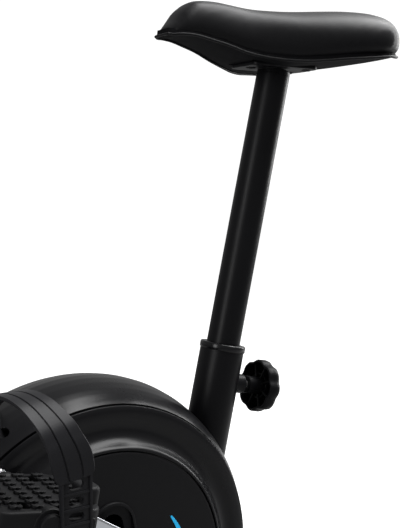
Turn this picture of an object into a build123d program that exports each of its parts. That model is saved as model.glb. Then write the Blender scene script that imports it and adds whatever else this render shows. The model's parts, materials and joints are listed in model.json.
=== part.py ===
from build123d import *
import math
import os

os.makedirs("parts", exist_ok=True)

# ---- driving dimensions, millimetres, +Z up, front of the bike at -X, rider's left at -Y ----
HALF_LENGTH = 430.0
FLOOR_TUBE_R = 25.0
FLOOR_TUBE_Z = 40.0
FRONT_FOOT_X = -356.0
REAR_FOOT_X = 398.0
FRONT_FOOT_HALF = 235.0
REAR_FOOT_HALF = 205.0
BEAM_W = 40.0
BEAM_BOTTOM = 65.0
BEAM_TOP = 125.0
SHROUD_X = 50.0
SHROUD_Z = 255.0
SEAM_R = 172.0
SEAM_Y = 58.0
CROWN_R = 191.0
SHELL = 3.0
DISC_R = 129.0
DISC_Y = 72.0
CRANK_X = 58.0
CRANK_Z = 291.0
AXLE_R = 10.0
OPENING_DX = -4.0
OPENING_DZ = 20.0
ARM_Y0 = 80.0
ARM_Y1 = 94.0
PEDAL_DX = -126.0
PEDAL_DZ = 97.0
PEDAL_TILT = 11.0
PEDAL_Y0 = 105.0
PEDAL_Y1 = 203.0
# strap centre line: along the pedal, out from the middle, above the spindle, and its width
STRAP_ROUTE = [
    (23, 205.0, -14, 24),
    (23, 205.0, 29, 24),
    (21, 205.0, 36, 34),
    (17, 204.6, 56, 34),
    (11, 198.0, 76, 34),
    (4, 181.0, 89, 34),
    (-3, 160.0, 93, 34),
    (-10, 138.0, 89, 34),
    (-17, 115.0, 75, 34),
    (-24, 104.0, 54, 34),
    (-27, 103.2, 34, 34),
    (-27, 103.2, -8, 34),
]
SLEEVE_TOP = (235.0, 0.0, 452.0)
TUBE_LEAN = math.radians(12.8)
SLEEVE_R = 25.0
POST_R = 19.0
POST_TOP_S = -318.0
POST_END_S = 200.0
PIN_S = 36.8
FLY_X = -5.0
FLY_Z = 196.0
FLY_R = 85.0
PULLEY_R = 84.0
SMALL_R = 18.0
BELT_Y0 = 31.0
BELT_Y1 = 41.0
MAST_X = -80.0
MAST_Z = 437.0
MAST_LEAN = math.radians(8.0)
MAST_R = 25.0
BAR_R = 12.7
BAR_X = -113.0
BAR_Z = 985.0

T = (math.sin(TUBE_LEAN), 0.0, math.cos(TUBE_LEAN))
N = (math.cos(TUBE_LEAN), 0.0, -math.sin(TUBE_LEAN))
M = (-math.sin(MAST_LEAN), 0.0, math.cos(MAST_LEAN))
MN = (math.cos(MAST_LEAN), 0.0, math.sin(MAST_LEAN))


def on_tube(s, out=0.0):
    # point s below the top of the seat tube, moved out towards the rear
    x = SLEEVE_TOP[0] - T[0] * s + N[0] * out
    z = SLEEVE_TOP[2] - T[2] * s + N[2] * out
    return (x, 0.0, z)


def on_mast(z, out=0.0):
    # point of the mast axis at height z, moved out towards the rider
    k = (z - MAST_Z) / M[2]
    return (MAST_X + M[0] * k + MN[0] * out, 0.0, MAST_Z + M[2] * k + MN[2] * out)


def tube_plane(s):
    return Plane(origin=on_tube(s), x_dir=(0, 1, 0), z_dir=T)


def mast_plane(z):
    return Plane(origin=on_mast(z), x_dir=(0, 1, 0), z_dir=M)


def side_plane(x, y, z, way=1):
    # sketch plane with its normal along +Y (way 1) or -Y (way -1), local x is world X
    return Plane(origin=(x, y, z), x_dir=(1, 0, 0), z_dir=(0, way, 0))


SHROUD_PLANE = Plane(origin=(SHROUD_X, 0, SHROUD_Z), x_dir=(1, 0, 0), z_dir=(0, 0, 1))

saved = []


def save(solid, name):
    solid.label = name
    export_step(solid, "parts/" + name + ".step")
    saved.append(name)


# ---- welded base frame ----
beam_front = FRONT_FOOT_X - 22.0
beam_rear = REAR_FOOT_X + 20.0
beam_mid_z = (BEAM_BOTTOM + BEAM_TOP) / 2
with BuildPart() as main_beam:
    with BuildSketch(Plane(origin=(beam_front, 0, beam_mid_z), x_dir=(0, 1, 0), z_dir=(1, 0, 0))):
        RectangleRounded(BEAM_W, BEAM_TOP - BEAM_BOTTOM, 6)
        RectangleRounded(BEAM_W - 5, BEAM_TOP - BEAM_BOTTOM - 5, 4, mode=Mode.SUBTRACT)
    extrude(amount=beam_rear - beam_front)
    # plugged ends
    for end_x in (beam_front, beam_rear - 3):
        with BuildSketch(Plane(origin=(end_x, 0, beam_mid_z), x_dir=(0, 1, 0), z_dir=(1, 0, 0))):
            RectangleRounded(BEAM_W, BEAM_TOP - BEAM_BOTTOM, 6)
        extrude(amount=3)
    # bolt holes down into both floor tubes
    for foot_x in (FRONT_FOOT_X, REAR_FOOT_X):
        with BuildSketch(Plane.XY.offset(BEAM_BOTTOM - 1)) as beam_holes:
            with Locations((foot_x - 12, 0), (foot_x + 12, 0)):
                Circle(4.3)
        extrude(amount=BEAM_TOP - BEAM_BOTTOM + 2, mode=Mode.SUBTRACT)
save(main_beam.part, "main_beam")

for foot_name, foot_x, foot_half in (
    ("front_stabiliser", FRONT_FOOT_X, FRONT_FOOT_HALF),
    ("rear_stabiliser", REAR_FOOT_X, REAR_FOOT_HALF),
):
    with BuildPart() as stabiliser:
        with BuildSketch(side_plane(foot_x, -foot_half + 8, FLOOR_TUBE_Z)):
            Circle(FLOOR_TUBE_R)
            Circle(FLOOR_TUBE_R - 2.5, mode=Mode.SUBTRACT)
        extrude(amount=2 * (foot_half - 8))
        with BuildSketch(Plane.XY.offset(FLOOR_TUBE_Z)):
            with Locations((foot_x - 12, 0), (foot_x + 12, 0)):
                Circle(4.3)
        extrude(amount=FLOOR_TUBE_R + 5, mode=Mode.SUBTRACT)
        # flat seat under the beam
        with BuildSketch(Plane.XY.offset(BEAM_BOTTOM)):
            with Locations((foot_x, 0)):
                Rectangle(60, 60)
        extrude(amount=10, mode=Mode.SUBTRACT)
    save(stabiliser.part, foot_name)

for bolt_name, foot_x in (("front_bolts", FRONT_FOOT_X), ("rear_bolts", REAR_FOOT_X)):
    with BuildPart() as bolts:
        for bolt_x in (foot_x - 12, foot_x + 12):
            with BuildSketch(Plane.XY.offset(FLOOR_TUBE_Z)):
                with Locations((bolt_x, 0)):
                    Circle(3.9)
            extrude(amount=BEAM_TOP - FLOOR_TUBE_Z + 8)
            with BuildSketch(Plane.XY.offset(BEAM_TOP + 0.1)):
                with Locations((bolt_x, 0)):
                    Circle(8)
            extrude(amount=1.5)
            with BuildSketch(Plane.XY.offset(BEAM_TOP + 1.6)):
                with Locations((bolt_x, 0)):
                    RegularPolygon(7, 6)
            extrude(amount=6.4)
        # washer plate under the beam, inside the tube
        with BuildSketch(Plane.XY.offset(FLOOR_TUBE_Z + 8)):
            with Locations((foot_x, 0)):
                RectangleRounded(38, 16, 4)
        extrude(amount=3)
    save(bolts.part, bolt_name)

# front end caps carry the transport wheels, rear end caps level the bike
WHEEL_R = 22.0
WHEEL_X = -HALF_LENGTH + WHEEL_R
WHEEL_Z = 28.0
for side_name, way in (("left", -1), ("right", 1)):
    y_in = FRONT_FOOT_HALF - 52
    y_out = FRONT_FOOT_HALF
    y_low = min(way * y_in, way * y_out)
    with BuildPart() as cap:
        with BuildSketch(side_plane(FRONT_FOOT_X, y_low, 0)):
            with BuildLine():
                Polyline((-28, 0), (30, 0), (30, -44), (18, -68), (-18, -68), (-28, -56), (-28, 0))
            make_face()
        extrude(amount=y_out - y_in)
        fillet(cap.edges().filter_by(Axis.Y), 5)
        # two ears reach forward to the wheel
        for ear_y in (y_low, y_low + (y_out - y_in) - 14):
            with BuildSketch(side_plane(WHEEL_X, ear_y, WHEEL_Z)):
                Circle(12)
                with Locations((14, 0)):
                    Rectangle(28, 24)
            extrude(amount=14)
        # socket for the floor tube, blind at the outer end
        sock_y = y_low if way > 0 else y_low + 8
        with BuildSketch(side_plane(FRONT_FOOT_X, sock_y, FLOOR_TUBE_Z)):
            Circle(FLOOR_TUBE_R + 0.05)
        extrude(amount=y_out - y_in - 8, mode=Mode.SUBTRACT)
        # wheel slot and axle bore
        with BuildSketch(side_plane(WHEEL_X, y_low + 14, WHEEL_Z)):
            Circle(WHEEL_R + 1.5)
        extrude(amount=24, mode=Mode.SUBTRACT)
        with BuildSketch(side_plane(WHEEL_X, y_low + 6, WHEEL_Z)):
            Circle(4.06)
        extrude(amount=40, mode=Mode.SUBTRACT)
    save(cap.part, "front_cap_" + side_name)
    with BuildPart() as wheel:
        with BuildSketch(side_plane(WHEEL_X, y_low + 15.5, WHEEL_Z)):
            Circle(WHEEL_R)
        extrude(amount=21)
        chamfer(wheel.edges().filter_by(GeomType.CIRCLE), 2)
        with BuildSketch(side_plane(WHEEL_X, y_low + 6.5, WHEEL_Z)):
            Circle(4)
        extrude(amount=39)
    save(wheel.part, "transport_wheel_" + side_name)
    y_in = REAR_FOOT_HALF - 50
    y_out = REAR_FOOT_HALF
    y_low = min(way * y_in, way * y_out)
    with BuildPart() as rear_cap:
        with BuildSketch(side_plane(REAR_FOOT_X, y_low, 0)):
            with BuildLine():
                Polyline((-32, 0), (32, 0), (32, -44), (20, -68), (-20, -68), (-32, -44), (-32, 0))
            make_face()
        extrude(amount=y_out - y_in)
        fillet(rear_cap.edges().filter_by(Axis.Y), 6)
        sock_y = y_low if way > 0 else y_low + 8
        with BuildSketch(side_plane(REAR_FOOT_X, sock_y, FLOOR_TUBE_Z)):
            Circle(FLOOR_TUBE_R + 0.05)
        extrude(amount=y_out - y_in - 8, mode=Mode.SUBTRACT)
    save(rear_cap.part, "rear_cap_" + side_name)

# seat tube with its welded pin boss
TUBE_LEN = (SLEEVE_TOP[2] - BEAM_TOP) / T[2]
with BuildPart() as seat_tube:
    with BuildSketch(tube_plane(TUBE_LEN + 12)):
        Circle(SLEEVE_R)
    extrude(amount=TUBE_LEN + 12)
    with BuildSketch(Plane(origin=on_tube(PIN_S, 10), x_dir=(0, 1, 0), z_dir=N)):
        Circle(11)
    extrude(amount=26)
    with BuildSketch(tube_plane(TUBE_LEN + 20)):
        Circle(SLEEVE_R - 2)
    extrude(amount=TUBE_LEN + 21, mode=Mode.SUBTRACT)
    with BuildSketch(Plane(origin=on_tube(PIN_S, 0), x_dir=(0, 1, 0), z_dir=N)):
        Circle(5.05)
    extrude(amount=50, mode=Mode.SUBTRACT)
    # cut level on the beam
    with BuildSketch(Plane.XY.offset(BEAM_TOP)):
        with Locations((160, 0)):
            Rectangle(120, 120)
    extrude(amount=-40, mode=Mode.SUBTRACT)
save(seat_tube.part, "seat_tube")

with BuildPart() as seat_bush:
    with BuildSketch(tube_plane(95)):
        Circle(SLEEVE_R - 2.02)
    extrude(amount=95)
    with BuildSketch(tube_plane(0)):
        Circle(SLEEVE_R + 1)
    extrude(amount=7)
    fillet(seat_bush.edges().group_by(Axis(on_tube(0), T))[-1], 1.5)
    with BuildSketch(tube_plane(96)):
        Circle(POST_R + 0.06)
    extrude(amount=110, mode=Mode.SUBTRACT)
    with BuildSketch(Plane(origin=on_tube(PIN_S, 0), x_dir=(0, 1, 0), z_dir=N)):
        Circle(5.4)
    extrude(amount=40, mode=Mode.SUBTRACT)
save(seat_bush.part, "seat_bush")

# bottom bracket shell on its upright
with BuildPart() as bb_shell:
    with BuildSketch(Plane.XY.offset(BEAM_TOP)):
        with Locations((CRANK_X, 0)):
            RectangleRounded(40, 30, 4)
    extrude(amount=CRANK_Z - BEAM_TOP)
    with BuildSketch(side_plane(CRANK_X, -28, CRANK_Z)):
        Circle(21)
    extrude(amount=56)
    # strut back to the seat tube
    strut_s = (SLEEVE_TOP[2] - 262.0) / T[2]
    strut_x = on_tube(strut_s)[0] - 25.8
    with BuildSketch(Plane(origin=(CRANK_X + 10, 0, 262), x_dir=(0, 1, 0), z_dir=(1, 0, 0))):
        Rectangle(8, 34)
    extrude(amount=strut_x - CRANK_X - 14)
    with BuildSketch(side_plane(CRANK_X, -30, CRANK_Z)):
        Circle(17)
    extrude(amount=60, mode=Mode.SUBTRACT)
save(bb_shell.part, "bottom_bracket")

with BuildPart() as crank_bearings:
    for bearing_y in (-28, 17):
        with BuildSketch(side_plane(CRANK_X, bearing_y, CRANK_Z)):
            Circle(16.98)
            Circle(AXLE_R + 0.05, mode=Mode.SUBTRACT)
        extrude(amount=11)
save(crank_bearings.part, "crank_bearings")

with BuildPart() as fly_bracket:
    with BuildSketch(Plane.XY.offset(BEAM_TOP)):
        with Locations((FLY_X + 6, 0)):
            Rectangle(14, 14)
    extrude(amount=FLY_Z - BEAM_TOP)
    with BuildSketch(side_plane(FLY_X, -22, FLY_Z)):
        Circle(14)
    extrude(amount=44)
    with BuildSketch(side_plane(FLY_X, -24, FLY_Z)):
        Circle(6.05)
    extrude(amount=48, mode=Mode.SUBTRACT)
save(fly_bracket.part, "flywheel_bracket")

# ---- shroud: crown ring between the two side seams ----
with BuildPart() as shroud_crown:
    with BuildSketch(SHROUD_PLANE):
        with BuildLine():
            Spline(
                (SEAM_R, -SEAM_Y),
                (184.5, -36),
                (CROWN_R, 0),
                (184.5, 36),
                (SEAM_R, SEAM_Y),
            )
            Line((SEAM_R, SEAM_Y), (SEAM_R - SHELL, SEAM_Y))
            Spline(
                (SEAM_R - SHELL, SEAM_Y),
                (181.5, 36),
                (CROWN_R - SHELL, 0),
                (181.5, -36),
                (SEAM_R - SHELL, -SEAM_Y),
            )
            Line((SEAM_R - SHELL, -SEAM_Y), (SEAM_R, -SEAM_Y))
        make_face()
    revolve(axis=Axis((SHROUD_X, 0, SHROUD_Z), (0, 1, 0)))
    # openings for the seat tube, the front stub and the beam
    with BuildSketch(tube_plane(160)):
        Circle(SLEEVE_R + 1)
    extrude(amount=130, mode=Mode.SUBTRACT)
    with BuildSketch(tube_plane(352)):
        Circle(SLEEVE_R + 1)
    extrude(amount=60, mode=Mode.SUBTRACT)
    with BuildSketch(mast_plane(350)):
        Circle(MAST_R)
    extrude(amount=120, mode=Mode.SUBTRACT)
    with BuildSketch(Plane.XY.offset(50)):
        with Locations((SHROUD_X, 0)):
            Rectangle(420, BEAM_W + 1)
    extrude(amount=BEAM_TOP - 49.5, mode=Mode.SUBTRACT)
    # two screw recesses beside the boot
    for screw_y in (-40, 40):
        with BuildSketch(Plane(origin=(-51, screw_y, 429.3), x_dir=(0, 1, 0), z_dir=(-0.5, 0, 0.866))):
            Circle(5.5)
        extrude(amount=-40, mode=Mode.SUBTRACT)
save(shroud_crown.part, "shroud_crown")

for side_name, way in (("left", -1), ("right", 1)):
    with BuildPart() as cover:
        with BuildSketch(SHROUD_PLANE):
            with BuildLine():
                Polyline(
                    (SEAM_R, way * (SEAM_Y + 0.3)),
                    (SEAM_R - 1.5, way * (SEAM_Y + 2.3)),
                    (162, way * (SEAM_Y + 3.2)),
                    (152, way * (SEAM_Y + 1.2)),
                    (146, way * (SEAM_Y + 1.6)),
                    (139, way * (SEAM_Y + 5.0)),
                    (134, way * (SEAM_Y + 10.5)),
                    (132, way * DISC_Y),
                    (130.4, way * DISC_Y),
                    (130.4, way * (DISC_Y - 4)),
                    (90, way * (DISC_Y - 4)),
                    (90, way * (DISC_Y - 7)),
                    (129, way * (DISC_Y - 7)),
                    (137, way * (SEAM_Y + 1.0)),
                    (146, way * (SEAM_Y - 1.6)),
                    (162, way * (SEAM_Y - 1.2)),
                    (SEAM_R - SHELL - 1, way * (SEAM_Y - 1.6)),
                    (SEAM_R - SHELL - 0.3, way * (SEAM_Y + 0.3)),
                    (SEAM_R, way * (SEAM_Y + 0.3)),
                )
            make_face()
        revolve(axis=Axis((SHROUD_X, 0, SHROUD_Z), (0, 1, 0)))
    save(cover.part, side_name + "_cover")
    with BuildPart() as disc:
        with BuildSketch(side_plane(SHROUD_X, way * (DISC_Y - 3.8), SHROUD_Z, way)):
            Circle(DISC_R)
        extrude(amount=3.8)
        # raised lip round the long crank opening, which reaches above the axle
        for reach, how, from_y, deep in (
            (25.0, Mode.ADD, DISC_Y - 0.5, 3.0),
            (20.0, Mode.SUBTRACT, DISC_Y - 0.4, 10.0),
            (12.0, Mode.SUBTRACT, DISC_Y - 10, 20.0),
        ):
            with BuildSketch(side_plane(CRANK_X, way * from_y, CRANK_Z, way)):
                with Locations((0, 0), (OPENING_DX, -way * OPENING_DZ)):
                    Circle(reach)
                make_hull()
            extrude(amount=deep, mode=how)
    save(disc.part, side_name + "_disc")
    # local y points up on the left and down on the right, so the arc is mirrored
    arc_lo = -45 if way < 0 else -36
    lo = math.radians(arc_lo)
    hi = math.radians(arc_lo + 81)
    with BuildPart() as accent:
        with BuildSketch(side_plane(SHROUD_X, way * (DISC_Y + 0.02), SHROUD_Z, way)):
            with BuildLine():
                CenterArc((0, 0), 91, arc_lo, 81)
                CenterArc((0, 0), 84, arc_lo, 81)
                Line((91 * math.cos(lo), 91 * math.sin(lo)), (84 * math.cos(lo), 84 * math.sin(lo)))
                Line((91 * math.cos(hi), 91 * math.sin(hi)), (84 * math.cos(hi), 84 * math.sin(hi)))
            make_face()
        extrude(amount=0.5)
    save(accent.part, side_name + "_accent")

# ---- front mast ----
MAG_A = math.radians(118)
MAG_PX = FLY_X + 100 * math.cos(MAG_A)
MAG_PZ = FLY_Z + 100 * math.sin(MAG_A)
with BuildPart() as front_stub:
    with BuildSketch(mast_plane(110)):
        Circle(MAST_R - 2.1)
    extrude(amount=(540 - 110) / M[2])
    with BuildSketch(mast_plane(100)):
        Circle(MAST_R - 5)
    extrude(amount=500, mode=Mode.SUBTRACT)
    with BuildSketch(Plane.XY.offset(BEAM_TOP)):
        with Locations((-36, 0)):
            Rectangle(140, 120)
    extrude(amount=-40, mode=Mode.SUBTRACT)
    # pivot pin of the magnet bracket
    with BuildSketch(side_plane(MAG_PX, -47, MAG_PZ)):
        Circle(3)
    extrude(amount=29)
save(front_stub.part, "front_stub")

MAST_TOP_Z = 1035.0
with BuildPart() as mast:
    with BuildSketch(mast_plane(432)):
        Circle(MAST_R)
    extrude(amount=(MAST_TOP_Z - 432) / M[2])
    # saddle block that holds the handlebar
    with BuildSketch(Plane(origin=(BAR_X, -24, BAR_Z), x_dir=MN, z_dir=(0, 1, 0))):
        with Locations((-16, 0)):
            Rectangle(30, 44)
    extrude(amount=48)
    with BuildSketch(Plane(origin=(BAR_X, -30, BAR_Z), x_dir=MN, z_dir=(0, 1, 0))):
        Circle(BAR_R + 0.05)
    extrude(amount=60, mode=Mode.SUBTRACT)
    with BuildSketch(mast_plane(425)):
        Circle(MAST_R - 2)
    extrude(amount=(MAST_TOP_Z - 440) / M[2], mode=Mode.SUBTRACT)
    with BuildSketch(Plane(origin=(BAR_X, 0, BAR_Z), x_dir=(0, 1, 0), z_dir=MN)):
        with Locations((0, 17.5), (0, -17.5)):
            Circle(3.2)
    extrude(amount=-30, mode=Mode.SUBTRACT)
save(mast.part, "mast")

with BuildPart() as clamp_cover:
    with BuildSketch(Plane(origin=(BAR_X, -24, BAR_Z), x_dir=MN, z_dir=(0, 1, 0))):
        with BuildLine():
            Polyline((0.4, -22), (9, -22), (19, -12), (19, 12), (9, 22), (0.4, 22), (0.4, -22))
        make_face()
    extrude(amount=48)
    with BuildSketch(Plane(origin=(BAR_X, -30, BAR_Z), x_dir=MN, z_dir=(0, 1, 0))):
        Circle(BAR_R + 0.05)
    extrude(amount=60, mode=Mode.SUBTRACT)
    with BuildSketch(Plane(origin=(BAR_X, 0, BAR_Z), x_dir=(0, 1, 0), z_dir=MN)):
        with Locations((0, 17.5), (0, -17.5)):
            Circle(3.2)
    extrude(amount=30, mode=Mode.SUBTRACT)
    # counterbores for the screw heads
    with BuildSketch(Plane(origin=(BAR_X + MN[0] * 10, 0, BAR_Z + MN[2] * 10), x_dir=(0, 1, 0), z_dir=MN)):
        with Locations((0, 17.5), (0, -17.5)):
            Circle(5.4)
    extrude(amount=20, mode=Mode.SUBTRACT)
save(clamp_cover.part, "clamp_cover")

with BuildPart() as clamp_screws:
    with BuildSketch(Plane(origin=(BAR_X - MN[0] * 12, 0, BAR_Z - MN[2] * 12), x_dir=(0, 1, 0), z_dir=MN)):
        with Locations((0, 17.5), (0, -17.5)):
            Circle(3.1)
    extrude(amount=24)
    with BuildSketch(Plane(origin=(BAR_X + MN[0] * 10.1, 0, BAR_Z + MN[2] * 10.1), x_dir=(0, 1, 0), z_dir=MN)):
        with Locations((0, 17.5), (0, -17.5)):
            Circle(5)
    extrude(amount=5)
save(clamp_screws.part, "clamp_screws")

with BuildPart() as mast_boot:
    with BuildSketch(mast_plane(404)):
        Circle(50)
    with BuildSketch(mast_plane(450)):
        Circle(38)
    with BuildSketch(mast_plane(500)):
        Circle(30)
    loft()
    with BuildSketch(mast_plane(395)):
        Circle(47)
    with BuildSketch(mast_plane(450)):
        Circle(35)
    with BuildSketch(mast_plane(497)):
        Circle(27)
    loft(mode=Mode.SUBTRACT)
    with BuildSketch(mast_plane(395)):
        Circle(MAST_R + 0.3)
    extrude(amount=130, mode=Mode.SUBTRACT)
    # trimmed to sit on the crown
    with BuildSketch(SHROUD_PLANE):
        with BuildLine():
            Spline((SEAM_R + 0.3, -SEAM_Y), (184.8, -36), (CROWN_R + 0.3, 0), (184.8, 36), (SEAM_R + 0.3, SEAM_Y))
            Polyline((SEAM_R + 0.3, SEAM_Y), (40, SEAM_Y), (40, -SEAM_Y), (SEAM_R + 0.3, -SEAM_Y))
        make_face()
    revolve(axis=Axis((SHROUD_X, 0, SHROUD_Z), (0, 1, 0)), mode=Mode.SUBTRACT)
save(mast_boot.part, "mast_boot")

# ---- handlebar, bent in one inclined plane that rises towards the rider ----
BAR_RISE = math.radians(24.0)
BAR_PLANE = Plane(
    origin=(BAR_X, 0, BAR_Z),
    x_dir=(0, 1, 0),
    z_dir=(-math.sin(BAR_RISE), 0, math.cos(BAR_RISE)),
)
# local x is world Y; local y points away from the rider, so the path uses negative values
bar_way = BAR_PLANE.to_local_coords(Vector(BAR_X + 10, 0, BAR_Z + 4.4)).Y
bar_sign = 1.0 if bar_way > 0 else -1.0
BAR_PTS = [(-238, 195), (-226, 70), (-95, 0), (95, 0), (226, 70), (238, 195)]
with BuildPart() as handlebar:
    with BuildLine(BAR_PLANE) as bar_path:
        FilletPolyline(*[(px, bar_sign * py) for px, py in BAR_PTS], radius=38)
    with BuildSketch(Plane(origin=bar_path.line @ 0, z_dir=bar_path.line % 0)):
        Circle(BAR_R)
    sweep(path=bar_path.line)
save(handlebar.part, "handlebar")

for side_name, way in (("left", -1), ("right", 1)):
    grip_x = 226 + 12 * (111 - 70) / 125
    start = BAR_PLANE.from_local_coords(Vector(way * grip_x, bar_sign * 111, 0))
    end = BAR_PLANE.from_local_coords(Vector(way * 238, bar_sign * 195, 0))
    along = (end - start).normalized()
    length = (end - start).length
    with BuildPart() as grip:
        with BuildSketch(Plane(origin=start, z_dir=along)):
            Circle(16.5)
        extrude(amount=length + 4)
        fillet(grip.edges().filter_by(GeomType.CIRCLE), 3)
        with BuildSketch(Plane(origin=start - along, z_dir=along)):
            Circle(BAR_R + 0.03)
        extrude(amount=length + 1.05, mode=Mode.SUBTRACT)
    save(grip.part, side_name + "_grip")
    s0 = BAR_PLANE.from_local_coords(Vector(way * 132, bar_sign * (132 - 95) * 70 / 131, 0))
    s1 = BAR_PLANE.from_local_coords(Vector(way * 188, bar_sign * (188 - 95) * 70 / 131, 0))
    s_along = (s1 - s0).normalized()
    with BuildPart() as sensor:
        with BuildSketch(Plane(origin=s0, z_dir=s_along)):
            Circle(15)
        extrude(amount=(s1 - s0).length)
        fillet(sensor.edges().filter_by(GeomType.CIRCLE), 1)
        with BuildSketch(Plane(origin=s0 - s_along, z_dir=s_along)):
            Circle(BAR_R + 0.03)
        extrude(amount=(s1 - s0).length + 3, mode=Mode.SUBTRACT)
    save(sensor.part, side_name + "_pulse_sensor")

# ---- console on top of the mast, leaning back to face the rider ----
CON_TILT = math.radians(50.0)
CON_N = (math.cos(CON_TILT), 0.0, math.sin(CON_TILT))
CON_C = (-150.0, 0.0, 1078.0)


def console_plane(out):
    o = (CON_C[0] + CON_N[0] * out, 0, CON_C[2] + CON_N[2] * out)
    return Plane(origin=o, x_dir=(0, 1, 0), z_dir=CON_N)


con_probe = console_plane(0).to_local_coords(Vector(CON_C[0] - 7, 0, CON_C[2] + 6)).Y
con_up = 1.0 if con_probe > 0 else -1.0
with BuildPart() as console:
    with BuildSketch(console_plane(-30)):
        RectangleRounded(150, 96, 20)
    with BuildSketch(console_plane(0)):
        RectangleRounded(204, 142, 26)
    loft()
    with BuildSketch(console_plane(0)):
        RectangleRounded(204, 142, 26)
    extrude(amount=8)
    fillet(console.edges().group_by(Axis(CON_C, CON_N))[-1], 3)
    # recess for the screen and pockets for the buttons
    with BuildSketch(console_plane(5)):
        with Locations((0, con_up * 18)):
            RectangleRounded(152.6, 78.6, 6.3)
    extrude(amount=10, mode=Mode.SUBTRACT)
    with BuildSketch(console_plane(-4)):
        with Locations(*[(bx, -con_up * 44) for bx in (-57, -19, 19, 57)]):
            Circle(10.4)
    extrude(amount=20, mode=Mode.SUBTRACT)
    # socket onto the mast
    with BuildSketch(mast_plane(1020)):
        Circle(MAST_R + 4)
    extrude(amount=34)
    with BuildSketch(mast_plane(1000)):
        Circle(MAST_R + 0.05)
    extrude(amount=(MAST_TOP_Z - 1000) / M[2] + 0.1, mode=Mode.SUBTRACT)
save(console.part, "console_housing")

with BuildPart() as screen:
    with BuildSketch(console_plane(5.2)):
        with Locations((0, con_up * 18)):
            RectangleRounded(152, 78, 6)
    extrude(amount=2)
save(screen.part, "console_screen")

for k, bx in enumerate((-57, -19, 19, 57)):
    with BuildPart() as button:
        with BuildSketch(console_plane(-1)):
            with Locations((bx, -con_up * 44)):
                Circle(10)
        extrude(amount=11)
        fillet(button.edges().group_by(Axis(CON_C, CON_N))[-1], 1.5)
    save(button.part, "console_button_" + str(k + 1))

with BuildPart() as tension_knob:
    with BuildSketch(Plane(origin=on_mast(800, MAST_R + 0.5), x_dir=(0, 1, 0), z_dir=MN)):
        Circle(27)
    extrude(amount=5)
    with BuildSketch(Plane(origin=on_mast(800, MAST_R + 5), x_dir=(0, 1, 0), z_dir=MN)):
        Circle(21)
        with PolarLocations(21, 8):
            Circle(3.2, mode=Mode.SUBTRACT)
    extrude(amount=20)
save(tension_knob.part, "tension_knob")

# ---- seat post and saddle ----
with BuildPart() as seat_post:
    with BuildSketch(tube_plane(POST_END_S)):
        Circle(POST_R)
        Circle(POST_R - 2, mode=Mode.SUBTRACT)
    extrude(amount=POST_END_S - POST_TOP_S)
    # row of height holes on the rear side
    for k in range(9):
        with BuildSketch(Plane(origin=on_tube(PIN_S + 25 * (k - 3)), x_dir=(0, 1, 0), z_dir=N)):
            Circle(4.6)
        extrude(amount=30, mode=Mode.SUBTRACT)
save(seat_post.part, "seat_post")

SADDLE_FRONT = 155.0
SADDLE_REAR = 429.4
SADDLE_BASE_Z = 768.0
NOSE_X = 232.0
SADDLE_TOP_Z = 838.0


def saddle_outline(grow):
    # plan outline, nose at low x; grow moves it outwards
    g = grow
    return [
        (SADDLE_FRONT - g, 0),
        (SADDLE_FRONT + 9 - g, -22 - g * 0.6),
        (SADDLE_FRONT + 50, -33 - g),
        (SADDLE_FRONT + 95, -44 - g),
        (SADDLE_FRONT + 128, -61 - g),
        (SADDLE_FRONT + 166, -87 - g),
        (SADDLE_REAR - 68, -104 - g),
        (SADDLE_REAR - 38, -107 - g),
        (SADDLE_REAR - 14, -91 - g),
        (SADDLE_REAR - 2 + g, -50),
        (SADDLE_REAR + g, 0),
    ]


def saddle_loop(grow):
    # the outline closed round both sides
    half = saddle_outline(grow)
    return half + [(px, -py) for px, py in reversed(half[1:-1])]


with BuildPart() as saddle_cushion:
    for level, grow in ((SADDLE_BASE_Z, -3), (782, 0), (808, 0), (828, -5), (SADDLE_TOP_Z, -19)):
        with BuildSketch(Plane.XY.offset(level)):
            with BuildLine():
                Spline(*saddle_loop(grow), periodic=True)
            make_face()
    loft()
    with BuildSketch(Plane.XY.offset(SADDLE_BASE_Z)):
        with BuildLine():
            Spline(*saddle_loop(-7), periodic=True)
        make_face()
        with Locations((NOSE_X - 100, 0)):
            Rectangle(200, 300, mode=Mode.SUBTRACT)
    extrude(amount=14, mode=Mode.SUBTRACT)
    # the nose rises clear of the base
    with BuildSketch(Plane(origin=(0, -150, 0), x_dir=(1, 0, 0), z_dir=(0, -1, 0))):
        with BuildLine():
            Polyline((100, 700), (100, 803), (NOSE_X - 3, SADDLE_BASE_Z - 1), (NOSE_X - 3, 700), (100, 700))
        make_face()
    extrude(amount=-300, mode=Mode.SUBTRACT)
save(saddle_cushion.part, "saddle_cushion")

with BuildPart() as saddle_base:
    with BuildSketch(Plane.XY.offset(SADDLE_BASE_Z - 4)):
        with BuildLine():
            Spline(*saddle_loop(-7.4), periodic=True)
        make_face()
        with Locations((NOSE_X - 99.6, 0)):
            Rectangle(200, 300, mode=Mode.SUBTRACT)
    extrude(amount=17.6)
    # pocket for the clamp
    with BuildSketch(Plane.XY.offset(SADDLE_BASE_Z - 6)):
        with Locations((on_tube(POST_TOP_S)[0] + 2, 0)):
            RectangleRounded(110, 64, 10)
    extrude(amount=12, mode=Mode.SUBTRACT)
save(saddle_base.part, "saddle_base")

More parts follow.
